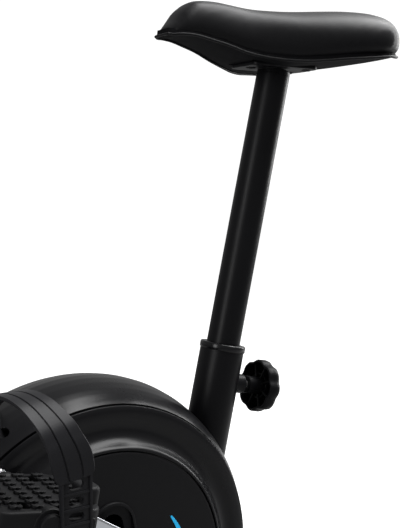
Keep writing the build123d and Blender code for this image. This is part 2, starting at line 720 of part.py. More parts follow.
post_top = on_tube(POST_TOP_S)
with BuildPart() as saddle_clamp:
    with BuildSketch(Plane.XY.offset(SADDLE_BASE_Z + 1.4)):
        with Locations((post_top[0] + 2, 0)):
            RectangleRounded(92, 52, 6)
    extrude(amount=4.4)
    with BuildSketch(Plane.XY.offset(SADDLE_BASE_Z - 6.6)):
        with Locations((post_top[0] - 32, 0), (post_top[0] + 36, 16), (post_top[0] + 36, -16)):
            RegularPolygon(7, 6)
    extrude(amount=8)
    # neck plug that sits in the post
    with BuildSketch(tube_plane(POST_TOP_S + 14)):
        Circle(POST_R - 2.02)
    extrude(amount=26)
    with BuildSketch(Plane.XY.offset(SADDLE_BASE_Z + 5.8)):
        with Locations((post_top[0], 0)):
            Rectangle(120, 120)
    extrude(amount=40, mode=Mode.SUBTRACT)
save(saddle_clamp.part, "saddle_clamp")

# ---- pull pin and lobed knob ----
KNOB_IN = 58.0
KNOB_DEPTH = 15.0
KNOB_R = 28.5
with BuildPart() as seat_knob:
    with BuildSketch(Plane(origin=on_tube(PIN_S, KNOB_IN), x_dir=(0, 1, 0), z_dir=N)):
        Circle(KNOB_R - 1)
        with PolarLocations(KNOB_R - 3.5, 8):
            Circle(6)
    extrude(amount=KNOB_DEPTH)
    fillet(seat_knob.faces().sort_by(Axis(on_tube(PIN_S), N))[-1].edges(), 2.5)
    with BuildSketch(Plane(origin=on_tube(PIN_S, KNOB_IN - 0.1), x_dir=(0, 1, 0), z_dir=N)):
        Circle(KNOB_R - 4)
        Circle(9.5, mode=Mode.SUBTRACT)
    extrude(amount=KNOB_DEPTH - 3.5, mode=Mode.SUBTRACT)
    # ribs in the hollow back and the hub
    with BuildSketch(Plane(origin=on_tube(PIN_S, KNOB_IN + 1.5), x_dir=(0, 1, 0), z_dir=N)):
        for k in range(4):
            Rectangle(2 * KNOB_R - 5, 2, rotation=k * 45)
    extrude(amount=KNOB_DEPTH - 4)
    with BuildSketch(Plane(origin=on_tube(PIN_S, KNOB_IN - 15), x_dir=(0, 1, 0), z_dir=N)):
        Circle(10)
    extrude(amount=20)
    with BuildSketch(Plane(origin=on_tube(PIN_S, KNOB_IN - 16), x_dir=(0, 1, 0), z_dir=N)):
        Circle(5.02)
    extrude(amount=25, mode=Mode.SUBTRACT)
save(seat_knob.part, "seat_knob")

with BuildPart() as knob_pin:
    with BuildSketch(Plane(origin=on_tube(PIN_S, POST_R + 0.4), x_dir=(0, 1, 0), z_dir=N)):
        Circle(4)
    extrude(amount=6)
    with BuildSketch(Plane(origin=on_tube(PIN_S, POST_R + 3.4), x_dir=(0, 1, 0), z_dir=N)):
        Circle(5)
    extrude(amount=KNOB_IN + 8 - POST_R - 3.4)
save(knob_pin.part, "knob_pin")

# ---- crank set ----
ARM_LEN = math.hypot(PEDAL_DX, PEDAL_DZ)
ARM_ANGLE = math.atan2(PEDAL_DZ, PEDAL_DX)
with BuildPart() as crank_axle:
    with BuildSketch(side_plane(CRANK_X, -ARM_Y1 - 4, CRANK_Z)):
        Circle(AXLE_R)
    extrude(amount=2 * ARM_Y1 + 8)
save(crank_axle.part, "crank_axle")

with BuildPart() as crank_pulley:
    with BuildSketch(side_plane(CRANK_X, BELT_Y0 - 1, CRANK_Z)):
        Circle(PULLEY_R)
        with PolarLocations(50, 6):
            Circle(17, mode=Mode.SUBTRACT)
        Circle(AXLE_R + 0.02, mode=Mode.SUBTRACT)
    extrude(amount=BELT_Y1 - BELT_Y0 + 2)
save(crank_pulley.part, "crank_pulley")

with BuildPart() as flywheel:
    with BuildSketch(side_plane(FLY_X, -48, FLY_Z)):
        Circle(FLY_R)
        Circle(6.02, mode=Mode.SUBTRACT)
    extrude(amount=20)
    with BuildSketch(side_plane(FLY_X, -48.1, FLY_Z)):
        Circle(FLY_R - 16)
        Circle(18, mode=Mode.SUBTRACT)
    extrude(amount=6, mode=Mode.SUBTRACT)
save(flywheel.part, "flywheel")

with BuildPart() as flywheel_axle:
    with BuildSketch(side_plane(FLY_X, -52, FLY_Z)):
        Circle(6)
    extrude(amount=98)
    with BuildSketch(side_plane(FLY_X, BELT_Y0 - 2, FLY_Z)):
        Circle(SMALL_R)
    extrude(amount=BELT_Y1 - BELT_Y0 + 4)
save(flywheel_axle.part, "flywheel_axle")

# belt as one closed band round both pulleys
belt_in = 0.3
span_x = FLY_X - CRANK_X
span_z = FLY_Z - CRANK_Z
span = math.hypot(span_x, span_z)
with BuildPart() as belt:
    with BuildSketch(side_plane(0, BELT_Y0, 0, -1)) as belt_sketch:
        for grow, how in ((2.3, Mode.ADD), (belt_in, Mode.SUBTRACT)):
            big = PULLEY_R + grow
            small = SMALL_R + grow
            tilt = math.acos((big - small) / span)
            base = math.atan2(span_z, span_x)
            pts = []
            for turn in (tilt, -tilt):
                a = base + turn
                pts.append((CRANK_X + big * math.cos(a), CRANK_Z + big * math.sin(a)))
            for turn in (-tilt, tilt):
                a = base + turn
                pts.append((FLY_X + small * math.cos(a), FLY_Z + small * math.sin(a)))
            with Locations((CRANK_X, CRANK_Z)):
                Circle(big, mode=how)
            with Locations((FLY_X, FLY_Z)):
                Circle(small, mode=how)
            with BuildLine():
                Polyline(*pts, close=True)
            make_face(mode=how)
    extrude(amount=-(BELT_Y1 - BELT_Y0))
save(belt.part, "drive_belt")

# magnet bracket, an arc in front of the flywheel
with BuildPart() as magnet_bracket:
    with BuildSketch(side_plane(FLY_X, -46, FLY_Z, -1)) as mag_sketch:
        with BuildLine():
            CenterArc((0, 0), 96, 118, 72)
            CenterArc((0, 0), 88, 118, 72)
            for a in (118, 190):
                ca = math.cos(math.radians(a))
                sa = math.sin(math.radians(a))
                Line((96 * ca, 96 * sa), (88 * ca, 88 * sa))
        make_face()
        with Locations((100 * math.cos(MAG_A), 100 * math.sin(MAG_A))):
            Circle(8)
            Circle(3.05, mode=Mode.SUBTRACT)
    extrude(amount=-16)
save(magnet_bracket.part, "magnet_bracket")

for side_name, way, sx in (("left", -1, 1), ("right", 1, -1)):
    px = CRANK_X + sx * PEDAL_DX
    pz = CRANK_Z + sx * PEDAL_DZ
    ax = sx * PEDAL_DX / ARM_LEN
    az = sx * PEDAL_DZ / ARM_LEN
    with BuildPart() as crank:
        with BuildSketch(side_plane(CRANK_X, way * ARM_Y0, CRANK_Z, way)):
            Circle(19)
        extrude(amount=16)
        with BuildSketch(side_plane(px, way * (ARM_Y0 + 1), pz, way)):
            Circle(13)
        extrude(amount=13)
        arm_plane = Plane(origin=(CRANK_X, way * (ARM_Y0 + 2), CRANK_Z), x_dir=(ax, 0, az), z_dir=(0, way, 0))
        with BuildSketch(arm_plane):
            with BuildLine():
                Polyline((0, 15), (ARM_LEN, 11), (ARM_LEN, -11), (0, -15), (0, 15))
            make_face()
        extrude(amount=11)
        with BuildSketch(side_plane(CRANK_X, way * (ARM_Y0 - 1), CRANK_Z, way)):
            Circle(AXLE_R + 0.02)
        extrude(amount=30, mode=Mode.SUBTRACT)
        with BuildSketch(side_plane(px, way * (ARM_Y0 - 1), pz, way)):
            Circle(7.02)
        extrude(amount=30, mode=Mode.SUBTRACT)
    save(crank.part, side_name + "_crank")
    with BuildPart() as spindle:
        with BuildSketch(side_plane(px, way * (ARM_Y0 + 1.5), pz, way)):
            Circle(7)
        extrude(amount=ARM_Y1 - ARM_Y0 - 1)
        with BuildSketch(side_plane(px, way * ARM_Y1, pz, way)):
            RegularPolygon(11, 6)
        extrude(amount=6)
        with BuildSketch(side_plane(px, way * (ARM_Y1 + 5), pz, way)):
            Circle(6)
        extrude(amount=PEDAL_Y1 - ARM_Y1 - 14)
    save(spindle.part, side_name + "_spindle")
    with BuildPart() as pedal:
        with BuildSketch(side_plane(px, way * PEDAL_Y0, pz, way)):
            RectangleRounded(92, 26, 6)
        extrude(amount=PEDAL_Y1 - PEDAL_Y0)
        # slots through the tread either side of the spindle barrel
        with BuildSketch(Plane.XY.offset(pz - 20)):
            for slot_x in (px - 27, px + 27):
                for slot_y in (PEDAL_Y0 + 26, PEDAL_Y0 + 49, PEDAL_Y0 + 72):
                    with Locations((slot_x, way * slot_y)):
                        RectangleRounded(22, 11, 3)
        extrude(amount=40, mode=Mode.SUBTRACT)
        # bearing cap at the outer end of the barrel
        with BuildSketch(side_plane(px, way * PEDAL_Y1, pz, way)):
            Circle(10)
        extrude(amount=5)
        # running bore for the spindle, closed at the outer end
        with BuildSketch(side_plane(px, way * (PEDAL_Y0 - 1), pz, way)):
            Circle(6.06)
        extrude(amount=PEDAL_Y1 - PEDAL_Y0 - 2, mode=Mode.SUBTRACT)
        # ramped grooves across the tread, top and bottom
        for k in range(7):
            gy = way * (PEDAL_Y0 + 9 + k * 13.4)
            for gz in (pz + 13, pz - 13):
                with BuildSketch(side_plane(px, gy - 1.6, gz)):
                    Rectangle(70, 5)
                extrude(amount=3.2, mode=Mode.SUBTRACT)
    tilted = pedal.part.rotate(Axis((px, 0, pz), (0, 1, 0)), PEDAL_TILT)
    save(tilted, side_name + "_pedal")
    # strap: a band that crosses the foot from the inner front to the outer rear
    with BuildPart() as strap:
        for k in range(len(STRAP_ROUTE)):
            sx_k, sy_k, sz_k, wide = STRAP_ROUTE[k]
            before = STRAP_ROUTE[max(0, k - 1)]
            after = STRAP_ROUTE[min(len(STRAP_ROUTE) - 1, k + 1)]
            run_y = way * (after[1] - before[1])
            run_z = after[2] - before[2]
            section = Plane(
                origin=(px + sx_k, way * sy_k, pz + sz_k),
                x_dir=(1, 0, 0),
                z_dir=(0, run_y, run_z),
            )
            with BuildSketch(section):
                Rectangle(wide, 3)
        loft(ruled=True)
        # oblong holes in the outer tongue
        with BuildSketch(side_plane(px + 23, way * 195, pz)):
            with Locations((0, -8), (0, -24)):
                SlotOverall(13, 8)
        extrude(amount=way * 20, mode=Mode.SUBTRACT)
    save(strap.part, side_name + "_strap")

print(len(saved), "parts", saved)
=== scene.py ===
# %% [markdown]
# # Upright exercise bike
# This lesson dresses a measured frame of an exercise bike. The frame gives every
# solid its place; here each visible piece gets its real surface and its finish.
# Lengths are written in millimetres, as a workshop drawing has them, and turned
# into metres where a mesh is made.

# %% Load the measured frame
import json
import math
import bmesh
import bpy
import numpy as np
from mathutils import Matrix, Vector


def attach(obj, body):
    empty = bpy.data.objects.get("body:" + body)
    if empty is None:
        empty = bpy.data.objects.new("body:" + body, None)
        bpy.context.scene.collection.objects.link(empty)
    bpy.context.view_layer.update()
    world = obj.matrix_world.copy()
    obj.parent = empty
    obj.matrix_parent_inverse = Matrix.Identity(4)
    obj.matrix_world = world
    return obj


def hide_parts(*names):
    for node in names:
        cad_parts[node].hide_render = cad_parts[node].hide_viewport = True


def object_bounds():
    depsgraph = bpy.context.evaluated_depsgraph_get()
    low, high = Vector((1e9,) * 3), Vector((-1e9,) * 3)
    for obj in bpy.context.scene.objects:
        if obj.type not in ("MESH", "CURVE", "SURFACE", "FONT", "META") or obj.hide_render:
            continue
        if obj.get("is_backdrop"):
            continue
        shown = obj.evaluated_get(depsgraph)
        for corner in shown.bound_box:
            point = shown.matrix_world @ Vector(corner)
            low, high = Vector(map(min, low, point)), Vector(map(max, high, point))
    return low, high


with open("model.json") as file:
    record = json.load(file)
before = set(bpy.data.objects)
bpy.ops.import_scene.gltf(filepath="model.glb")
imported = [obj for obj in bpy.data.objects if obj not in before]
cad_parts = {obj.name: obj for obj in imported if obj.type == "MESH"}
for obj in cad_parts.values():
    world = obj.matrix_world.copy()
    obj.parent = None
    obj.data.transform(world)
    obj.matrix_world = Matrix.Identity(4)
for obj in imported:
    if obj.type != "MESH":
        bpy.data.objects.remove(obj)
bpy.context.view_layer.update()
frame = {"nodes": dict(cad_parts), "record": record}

MM = 0.001
scene = bpy.context.scene
nodes = frame["nodes"]

# %% [markdown]
# ## Camera
# The bike is seen from its front left, about a metre away and from a height
# between the crank and the saddle. A 58 mm lens gives the mild perspective of a
# product view.

# %% Set the camera
camera_data = bpy.data.cameras.new("camera")
camera = bpy.data.objects.new("camera", camera_data)
scene.collection.objects.link(camera)
CAMERA_AT = (-318, -775, 653)
CAMERA_TURN = 34.0
CAMERA_DIP = 6.2
LENS = 57.9545
camera.location = Vector(CAMERA_AT) * MM
camera.rotation_euler = (math.radians(90 - CAMERA_DIP), 0, math.radians(-CAMERA_TURN))
camera_data.lens = LENS
camera_data.sensor_width = 36
camera_data.clip_start = 0.02
camera_data.clip_end = 100
scene.camera = camera
print("lens", round(camera_data.lens, 1), "mm")

# %% [markdown]
# ## Studio
# A pale floor that runs far back, and a white room round it, leave a clean
# outline. Black plastic shows its shape only through what it reflects, so large
# soft panels do the drawing: one overhead, one ahead of the bike, which is left
# in the view, and one behind it.
# The room and the floor are brighter to the camera than to the bike. A ray from
# the camera sees them near white, and a reflected ray sees them dim. No real room
# does that: it is a studio trick that keeps black finishes black on white.

# %% Floor, room light and panels
def sheet_of(name, width, depth, height):
    mesh = bpy.data.meshes.new(name)
    corners = [(-width, -depth, height), (width, -depth, height), (width, depth, height),
               (-width, depth, height)]
    mesh.from_pydata(corners, [], [(0, 1, 2, 3)])
    made = bpy.data.objects.new(name, mesh)
    scene.collection.objects.link(made)
    return made


def soft_panel(name, at, aim, size, power):
    data = bpy.data.lights.new(name, "AREA")
    data.shape = "RECTANGLE"
    data.size, data.size_y = size
    data.energy = power
    lamp = bpy.data.objects.new(name, data)
    lamp.location = at
    lamp.rotation_euler = (Vector(aim) - Vector(at)).to_track_quat("-Z", "Y").to_euler()
    scene.collection.objects.link(lamp)


def two_levels(tree, strength, to_bike, to_camera):
    """Give a strength one value for rays from the camera and another for the rest."""
    seen = tree.nodes.new("ShaderNodeLightPath")
    level = tree.nodes.new("ShaderNodeMapRange")
    level.inputs["To Min"].default_value = to_bike
    level.inputs["To Max"].default_value = to_camera
    tree.links.new(seen.outputs["Is Camera Ray"], level.inputs["Value"])
    tree.links.new(level.outputs["Result"], strength)


floor = sheet_of("floor", 30, 30, 0)
floor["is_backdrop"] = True
soft_panel("overhead", (1.05, -0.3, 2.5), (0.05, 0, 0.4), (1.7, 1.7), 165)
soft_panel("left_panel", (-2.4, -0.8, 1.2), (0.1, 0, 0.5), (0.7, 2.0), 45)
soft_panel("rear_panel", (2.2, 0.3, 1.4), (0.2, 0, 0.6), (0.7, 2.2), 45)

world = bpy.data.worlds.new("studio")
scene.world = world
world.use_nodes = True
sky = world.node_tree.nodes["Background"]
sky.inputs["Color"].default_value = (1, 1, 1, 1)
two_levels(world.node_tree, sky.inputs["Strength"], to_bike=0.5, to_camera=1.1)
scene.view_settings.view_transform = "Standard"
scene.view_settings.look = "None"

# %% [markdown]
# ## Finishes
# Every surface gets a small program of nodes: a base colour with a little
# variation and a roughness that wanders as handled plastic does. A grained one
# gets a fine bump as well. Where a piece has hard edges, a bevel node rounds
# them in the shading, so that they catch the light as moulded and painted ones do.

# %% Build one finish
def finish(name, colour, rough, metal=0.0, grain=0.0, grain_size=900.0, wander=0.05,
           tone=0.08, edge=0.0, coat=0.0, coat_rough=0.2, specular=0.5, sheen=0.0, streak=None):
    made = bpy.data.materials.new(name)
    made.use_nodes = True
    tree = made.node_tree
    shader = tree.nodes["Principled BSDF"]
    shader.inputs["Metallic"].default_value = metal
    shader.inputs["Specular IOR Level"].default_value = specular
    shader.inputs["Coat Weight"].default_value = coat
    shader.inputs["Coat Roughness"].default_value = coat_rough
    shader.inputs["Sheen Weight"].default_value = sheen
    place = tree.nodes.new("ShaderNodeTexCoord")
    stretch = tree.nodes.new("ShaderNodeMapping")
    stretch.inputs["Scale"].default_value = streak or (1, 1, 1)
    tree.links.new(place.outputs["Object"], stretch.inputs["Vector"])
    cloud = tree.nodes.new("ShaderNodeTexNoise")
    cloud.inputs["Scale"].default_value = 9
    cloud.inputs["Detail"].default_value = 6
    tree.links.new(stretch.outputs["Vector"], cloud.inputs["Vector"])
    shade = tree.nodes.new("ShaderNodeMapRange")
    shade.inputs["From Min"].default_value = 0.3
    shade.inputs["From Max"].default_value = 0.7
    shade.inputs["To Min"].default_value = max(0.0, rough - wander)
    shade.inputs["To Max"].default_value = min(1.0, rough + wander)
    tree.links.new(cloud.outputs["Fac"], shade.inputs["Value"])
    tree.links.new(shade.outputs["Result"], shader.inputs["Roughness"])
    mix = tree.nodes.new("ShaderNodeMix")
    mix.data_type = "RGBA"
    mix.inputs["A"].default_value = (*[c * (1 - tone) for c in colour], 1)
    mix.inputs["B"].default_value = (*[min(1, c * (1 + tone)) for c in colour], 1)
    tree.links.new(cloud.outputs["Fac"], mix.inputs["Factor"])
    tree.links.new(mix.outputs["Result"], shader.inputs["Base Color"])
    last = None
    if edge > 0:
        rounding = tree.nodes.new("ShaderNodeBevel")
        rounding.samples = 4
        rounding.inputs["Radius"].default_value = edge * MM
        last = rounding.outputs["Normal"]
    if grain > 0:
        speck = tree.nodes.new("ShaderNodeTexNoise")
        speck.inputs["Scale"].default_value = grain_size
        speck.inputs["Detail"].default_value = 3
        tree.links.new(stretch.outputs["Vector"], speck.inputs["Vector"])
        bump = tree.nodes.new("ShaderNodeBump")
        bump.inputs["Strength"].default_value = grain
        bump.inputs["Distance"].default_value = 0.0003
        tree.links.new(speck.outputs["Fac"], bump.inputs["Height"])
        if last:
            tree.links.new(last, bump.inputs["Normal"])
        last = bump.outputs["Normal"]
    if last:
        tree.links.new(last, shader.inputs["Normal"])
    return made


# %% [markdown]
# ## Palette
# The bike is nearly all black, so its finishes differ in roughness, grain and
# how strongly they reflect, far more than in colour. One function with named
# settings keeps those differences side by side, where a separate node tree for
# each finish would hide them. The reflection levels were chosen to suit this one
# studio and are not measured values of real plastics.

# %% The palette of the bike
PAINT = finish("powder_coat", (0.003, 0.003, 0.0035), 0.36, grain=0.15, grain_size=1400, edge=1.2,
               specular=0.08)
HOUSING = finish("housing_plastic", (0.003, 0.003, 0.0035), 0.28, grain=0.03, grain_size=1800, wander=0.015,
                 edge=0.5, specular=0.13)
DISC = finish("disc_plastic", (0.005, 0.005, 0.0055), 0.45, grain=0.1, grain_size=1800, edge=0.5,
              specular=0.07)
MATT = finish("matt_plastic", (0.002, 0.002, 0.0025), 0.42, grain=0.15, grain_size=1500, edge=0.8,
              specular=0.07)
GLOSSY = finish("smooth_plastic", (0.003, 0.003, 0.0035), 0.22, edge=0.5, specular=0.18)
TREAD = finish("pedal_plastic", (0.004, 0.004, 0.0045), 0.5, grain=0.2, grain_size=1300, edge=0.4,
               specular=0.09)
STRAP = finish("strap_rubber", (0.007, 0.007, 0.008), 0.45, grain=0.08, grain_size=1600, specular=0.09)
CHROME = finish("chrome_plate", (0.4, 0.41, 0.43), 0.1, metal=1.0, wander=0.03, tone=0.02, edge=0.5)
ZINC = finish("zinc_steel", (0.5, 0.5, 0.51), 0.3, metal=1.0, edge=0.5, streak=(1, 1, 6))
IRON = finish("cast_iron", (0.05, 0.05, 0.055), 0.6, metal=0.6, grain=0.4, grain_size=600, edge=0.6)
FOAM = finish("grip_foam", (0.008, 0.008, 0.008), 0.85, grain=0.7, grain_size=900, specular=0.05)
VINYL = finish("saddle_vinyl", (0.003, 0.003, 0.0035), 0.47, grain=0.12, grain_size=700, wander=0.04,
               specular=0.09)
UNDER = finish("pan_plastic", (0.004, 0.004, 0.0045), 0.7, grain=0.2, specular=0.02)
BLUE = finish("blue_print", (0.01, 0.36, 0.68), 0.35, wander=0.03, tone=0.04, specular=0.25)
GREY = finish("grey_rubber", (0.05, 0.052, 0.055), 0.6, grain=0.1, specular=0.2)
GLASS = finish("display_window", (0.05, 0.06, 0.055), 0.12, coat=0.6, coat_rough=0.05)
BELT = finish("belt_rubber", (0.01, 0.01, 0.01), 0.7, grain=0.3)
FLOOR = finish("pale_floor", (0.3, 0.3, 0.3), 0.8, wander=0.02, tone=0.003, specular=0.0)
glow = FLOOR.node_tree.nodes["Principled BSDF"]
glow.inputs["Emission Color"].default_value = (1, 1, 1, 1)
two_levels(FLOOR.node_tree, glow.inputs["Emission Strength"], to_bike=0.0, to_camera=0.88)
floor.data.materials.append(FLOOR)

BY_SLOT = {
    "black_paint": PAINT, "black_plastic": MATT, "gloss_black": GLOSSY, "shroud_plastic": HOUSING,
    "disc_plastic": DISC, "blue_trim": BLUE, "wheel_plastic": MATT, "zinc_steel": ZINC,
    "chrome": CHROME, "iron": IRON, "foam": FOAM, "vinyl": VINYL, "lcd": GLASS,
    "grey_rubber": GREY, "belt_rubber": BELT, "pedal_plastic": TREAD, "strap_rubber": STRAP,
}
slot_of = {row["node"]: row["material_slot"] for row in frame["record"]["subparts"]}
for node_name, node in nodes.items():
    node.data.materials.clear()
    node.data.materials.append(BY_SLOT[slot_of[node_name]])
print(len(BY_SLOT), "finishes on", len(nodes), "solids")

# %% [markdown]
# ## Workshop helpers
# Most pieces of the bike are turned, cut from sheet, swept along a line or
# moulded. These few helpers do those jobs in mesh code, then settle the result
# so that each piece ends as one plain mesh.

# %% Make, settle and hang a mesh
def soften(made, sharp=38):
    made.data.shade_smooth()
    made.data.set_sharp_from_angle(angle=math.radians(sharp))


def solid(name, points, faces, material, sharp=38):
    mesh = bpy.data.meshes.new(name)
    mesh.from_pydata([Vector(p) * MM for p in points], [], faces)
    shape = bmesh.new()
    shape.from_mesh(mesh)
    bmesh.ops.remove_doubles(shape, verts=shape.verts, dist=1e-6)
    bmesh.ops.recalc_face_normals(shape, faces=shape.faces)
    shape.to_mesh(mesh)
    shape.free()
    made = bpy.data.objects.new(name, mesh)
    scene.collection.objects.link(made)
    mesh.materials.append(material)
    soften(made, sharp)
    return made


def settle(made, sharp=38):
    bpy.context.view_layer.update()
    graph = bpy.context.evaluated_depsgraph_get()
    done = bpy.data.meshes.new_from_object(made.evaluated_get(graph))
    made.modifiers.clear()
    old = made.data
    made.data = done
    bpy.data.meshes.remove(old)
    soften(made, sharp)
    return made


def round_edges(made, width, steps=3, angle=35):
    tool = made.modifiers.new("round", "BEVEL")
    tool.width = width * MM
    tool.segments = steps
    tool.limit_method = "ANGLE"
    tool.angle_limit = math.radians(angle)
    tool.harden_normals = False
    return settle(made)


def cut(made, *cutters, keep="DIFFERENCE"):
    for cutter in cutters:
        tool = made.modifiers.new("cut", "BOOLEAN")
        tool.operation = keep
        tool.solver = "EXACT"
        tool.object = cutter
    settle(made)
    for cutter in cutters:
        bpy.data.objects.remove(cutter)
    return made


def join(name, parts):
    gathered = bmesh.new()
    for part in parts:
        gathered.from_mesh(part.data)
    material = parts[0].data.materials[0]
    mesh = bpy.data.meshes.new(name)
    gathered.to_mesh(mesh)
    gathered.free()
    for part in parts:
        bpy.data.objects.remove(part)
    made = bpy.data.objects.new(name, mesh)
    scene.collection.objects.link(made)
    mesh.materials.append(material)
    soften(made)
    return made


def hang(made, body, slot, *stands_for):
    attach(made, body)
    if stands_for:
        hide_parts(*stands_for)
    print(made.name, len(made.data.vertices), "points on", body)
    return made


# %% [markdown]
# ## Turned and flat pieces
# Bosses, discs, collars and knobs are turned on a lathe or moulded as if they
# were, and plates are cut from sheet. A turned piece is one closed profile spun
# round an axis, and a plate is one outline pushed through its thickness. A plain
# rod serves as the drill for every round hole.

# %% Turn and cut
def frame_of(direction):
    w = Vector(direction).normalized()
    side = Vector((0, 0, 1)).cross(w)
    if side.length < 1e-3:
        side = Vector((1, 0, 0)).cross(w)
    side.normalize()
    return side, w.cross(side), w


def turned(name, profile, centre, axis, material, steps=96, sharp=38):
    """Closed profile of (radius, height) pairs spun round an axis."""
    side, front, w = frame_of(axis)
    centre = Vector(centre)
    points, faces = [], []
    n = len(profile)
    for k in range(steps):
        a = 2 * math.pi * k / steps
        out = side * math.cos(a) + front * math.sin(a)
        for r, h in profile:
            points.append(centre + out * r + w * h)
    for k in range(steps):
        q = (k + 1) % steps
        for i in range(n):
            j = (i + 1) % n
            if profile[i][0] < 1e-6 and profile[j][0] < 1e-6:
                continue
            faces.append((k * n + i, k * n + j, q * n + j, q * n + i))
    return solid(name, points, faces, material, sharp)


def rod(radius, low, high, at, axis, steps=64):
    """A plain cylinder from low to high along an axis, to drill with."""
    return turned("rod", [(0, low), (radius, low), (radius, high), (0, high)], at, axis, MATT, steps)


def plate(name, outline, origin, u, v, deep, material):
    """An outline in the u, v plane pushed along u cross v by deep, as one closed slab."""
    origin, u, v = Vector(origin), Vector(u), Vector(v)
    w = u.cross(v).normalized() * deep
    n = len(outline)
    low_ring = [origin + u * a + v * b for a, b in outline]
    points = low_ring + [p + w for p in low_ring]
    faces = [tuple(range(n)), tuple(range(2 * n - 1, n - 1, -1))]
    faces += [(i, (i + 1) % n, n + (i + 1) % n, n + i) for i in range(n)]
    return solid(name, points, faces, material)


# %% [markdown]
# ## Outlines
# Three outlines come back all over the bike: a box with round corners, a circle,
# and the belt shape round two circles of different size. Each is worked out from
# its sizes, so the number of points can follow how close the piece is seen.

# %% Outlines
def round_box(wide, tall, corner, steps=6):
    pts = []
    for cx, cy, a0 in ((1, 1, 0), (-1, 1, 90), (-1, -1, 180), (1, -1, 270)):
        for k in range(steps + 1):
            a = math.radians(a0 + 90 * k / steps)
            x = cx * (wide / 2 - corner) + corner * math.cos(a)
            y = cy * (tall / 2 - corner) + corner * math.sin(a)
            pts.append((x, y))
    return pts


def circle_line(radius, steps):
    turns = [2 * math.pi * k / steps for k in range(steps)]
    return [(radius * math.cos(a), radius * math.sin(a)) for a in turns]


def hull_line(r0, at0, r1, at1, steps=24):
    """Outline round two circles, such as a crank arm or a long opening."""
    dx, dy = at1[0] - at0[0], at1[1] - at0[1]
    span = math.hypot(dx, dy)
    base = math.atan2(dy, dx)
    lean = math.acos((r0 - r1) / span)
    pts = []
    for k in range(steps + 1):
        a = base + lean + (2 * math.pi - 2 * lean) * k / steps
        pts.append((at0[0] + r0 * math.cos(a), at0[1] + r0 * math.sin(a)))
    for k in range(steps + 1):
        a = base - lean + 2 * lean * k / steps
        pts.append((at1[0] + r1 * math.cos(a), at1[1] + r1 * math.sin(a)))
    return pts


# %% [markdown]
# ## Swept pieces
# A bead and a strap keep one section along a bending route. The route is a
# smooth line through a few chosen points, and the section may grow or shrink on
# the way. A curve object could do the same, but a mesh keeps the section's
# corners exactly where the profile puts them.

# %% Sweep and spline
def swept(name, line, section, material, closed=False, sharp=38, side_hint=(0, 1, 0), scale=None):
    """A closed section carried along a line of points, capped at both ends."""
    line = [Vector(p) for p in line]
    points, faces = [], []
    n, m = len(section), len(line)
    for k, p in enumerate(line):
        before = line[k - 1] if k > 0 or closed else line[0]
        after = line[(k + 1) % m] if k < m - 1 or closed else line[-1]
        along = (after - before).normalized()
        side = Vector(side_hint)
        side = (side - along * side.dot(along)).normalized()
        out = along.cross(side)
        grow = scale[k] if scale else (1, 1)
        for a, b in section:
            points.append(p + side * a * grow[0] + out * b * grow[1])
    for k in range(m if closed else m - 1):
        q = (k + 1) % m
        for i in range(n):
            j = (i + 1) % n
            faces.append((k * n + i, k * n + j, q * n + j, q * n + i))
    if not closed:
        faces.append(tuple(range(n)))
        faces.append(tuple(range(m * n - 1, (m - 1) * n - 1, -1)))
    return solid(name, points, faces, material, sharp)


def spline(points, per=8, closed=False):
    """Catmull-Rom line through the given points."""
    p = [Vector(q).to_3d() if len(q) == 2 else Vector(q) for q in points]
    n = len(p)
    out = []
    last = n if closed else n - 1
    for i in range(last):
        a = p[i - 1] if i > 0 or closed else p[0] * 2 - p[1]
        b, c = p[i], p[(i + 1) % n]
        d = p[(i + 2) % n] if i + 2 < n or closed else c * 2 - b
        for k in range(per):
            t = k / per
            out.append(0.5 * ((2 * b) + (c - a) * t + (2 * a - 5 * b + 4 * c - d) * t * t
                              + (3 * b - a - 3 * c + d) * t ** 3))
    if not closed:
        out.append(p[-1])
    return out


# %% [markdown]
# ## Where the tubes run
# The seat tube leans back 12.8 degrees and the front mast leans forward 8. Every
# piece on them is placed by how far along the tube it sits and how far out.

# %% Tube directions
SEAT_LEAN = math.radians(12.8)
SEAT_UP = Vector((math.sin(SEAT_LEAN), 0, math.cos(SEAT_LEAN)))
SEAT_BACK = Vector((math.cos(SEAT_LEAN), 0, -math.sin(SEAT_LEAN)))
SLEEVE_TOP = Vector((235, 0, 452))
MAST_LEAN = math.radians(8)
MAST_UP = Vector((-math.sin(MAST_LEAN), 0, math.cos(MAST_LEAN)))
MAST_BACK = Vector((math.cos(MAST_LEAN), 0, math.sin(MAST_LEAN)))
MAST_AT = Vector((-80, 0, 437))
HUB = Vector((50, 0, 255))
CRANK = Vector((58, 0, 291))
SIDES = (("left", -1), ("right", 1))


def on_seat(down, out=0.0):
    return SLEEVE_TOP - SEAT_UP * down + SEAT_BACK * out


def on_mast(height, out=0.0):
    return MAST_AT + MAST_UP * ((height - MAST_AT.z) / MAST_UP.z) + MAST_BACK * out


print("tube top", SLEEVE_TOP[:], "mast top", [round(v) for v in on_mast(1035)])

# %% [markdown]
# ## Drive housing
# The round housing is three mouldings: a domed crown that runs round the middle
# and a dished cover on each side. They are turned here from one profile each, so
# the seam, the valley and the bright rolled edge round the disc run true all the
# way round. The crown is then opened for the tubes and the beam.

# %% Crown
def crown_radius(y):
    known = [0, 12, 24, 36, 44, 52, 56.5, 58]
    radius = [191, 190.2, 188.0, 184.5, 181.0, 176.6, 173.6, 171.6]
    return float(np.interp(abs(y), known, radius))


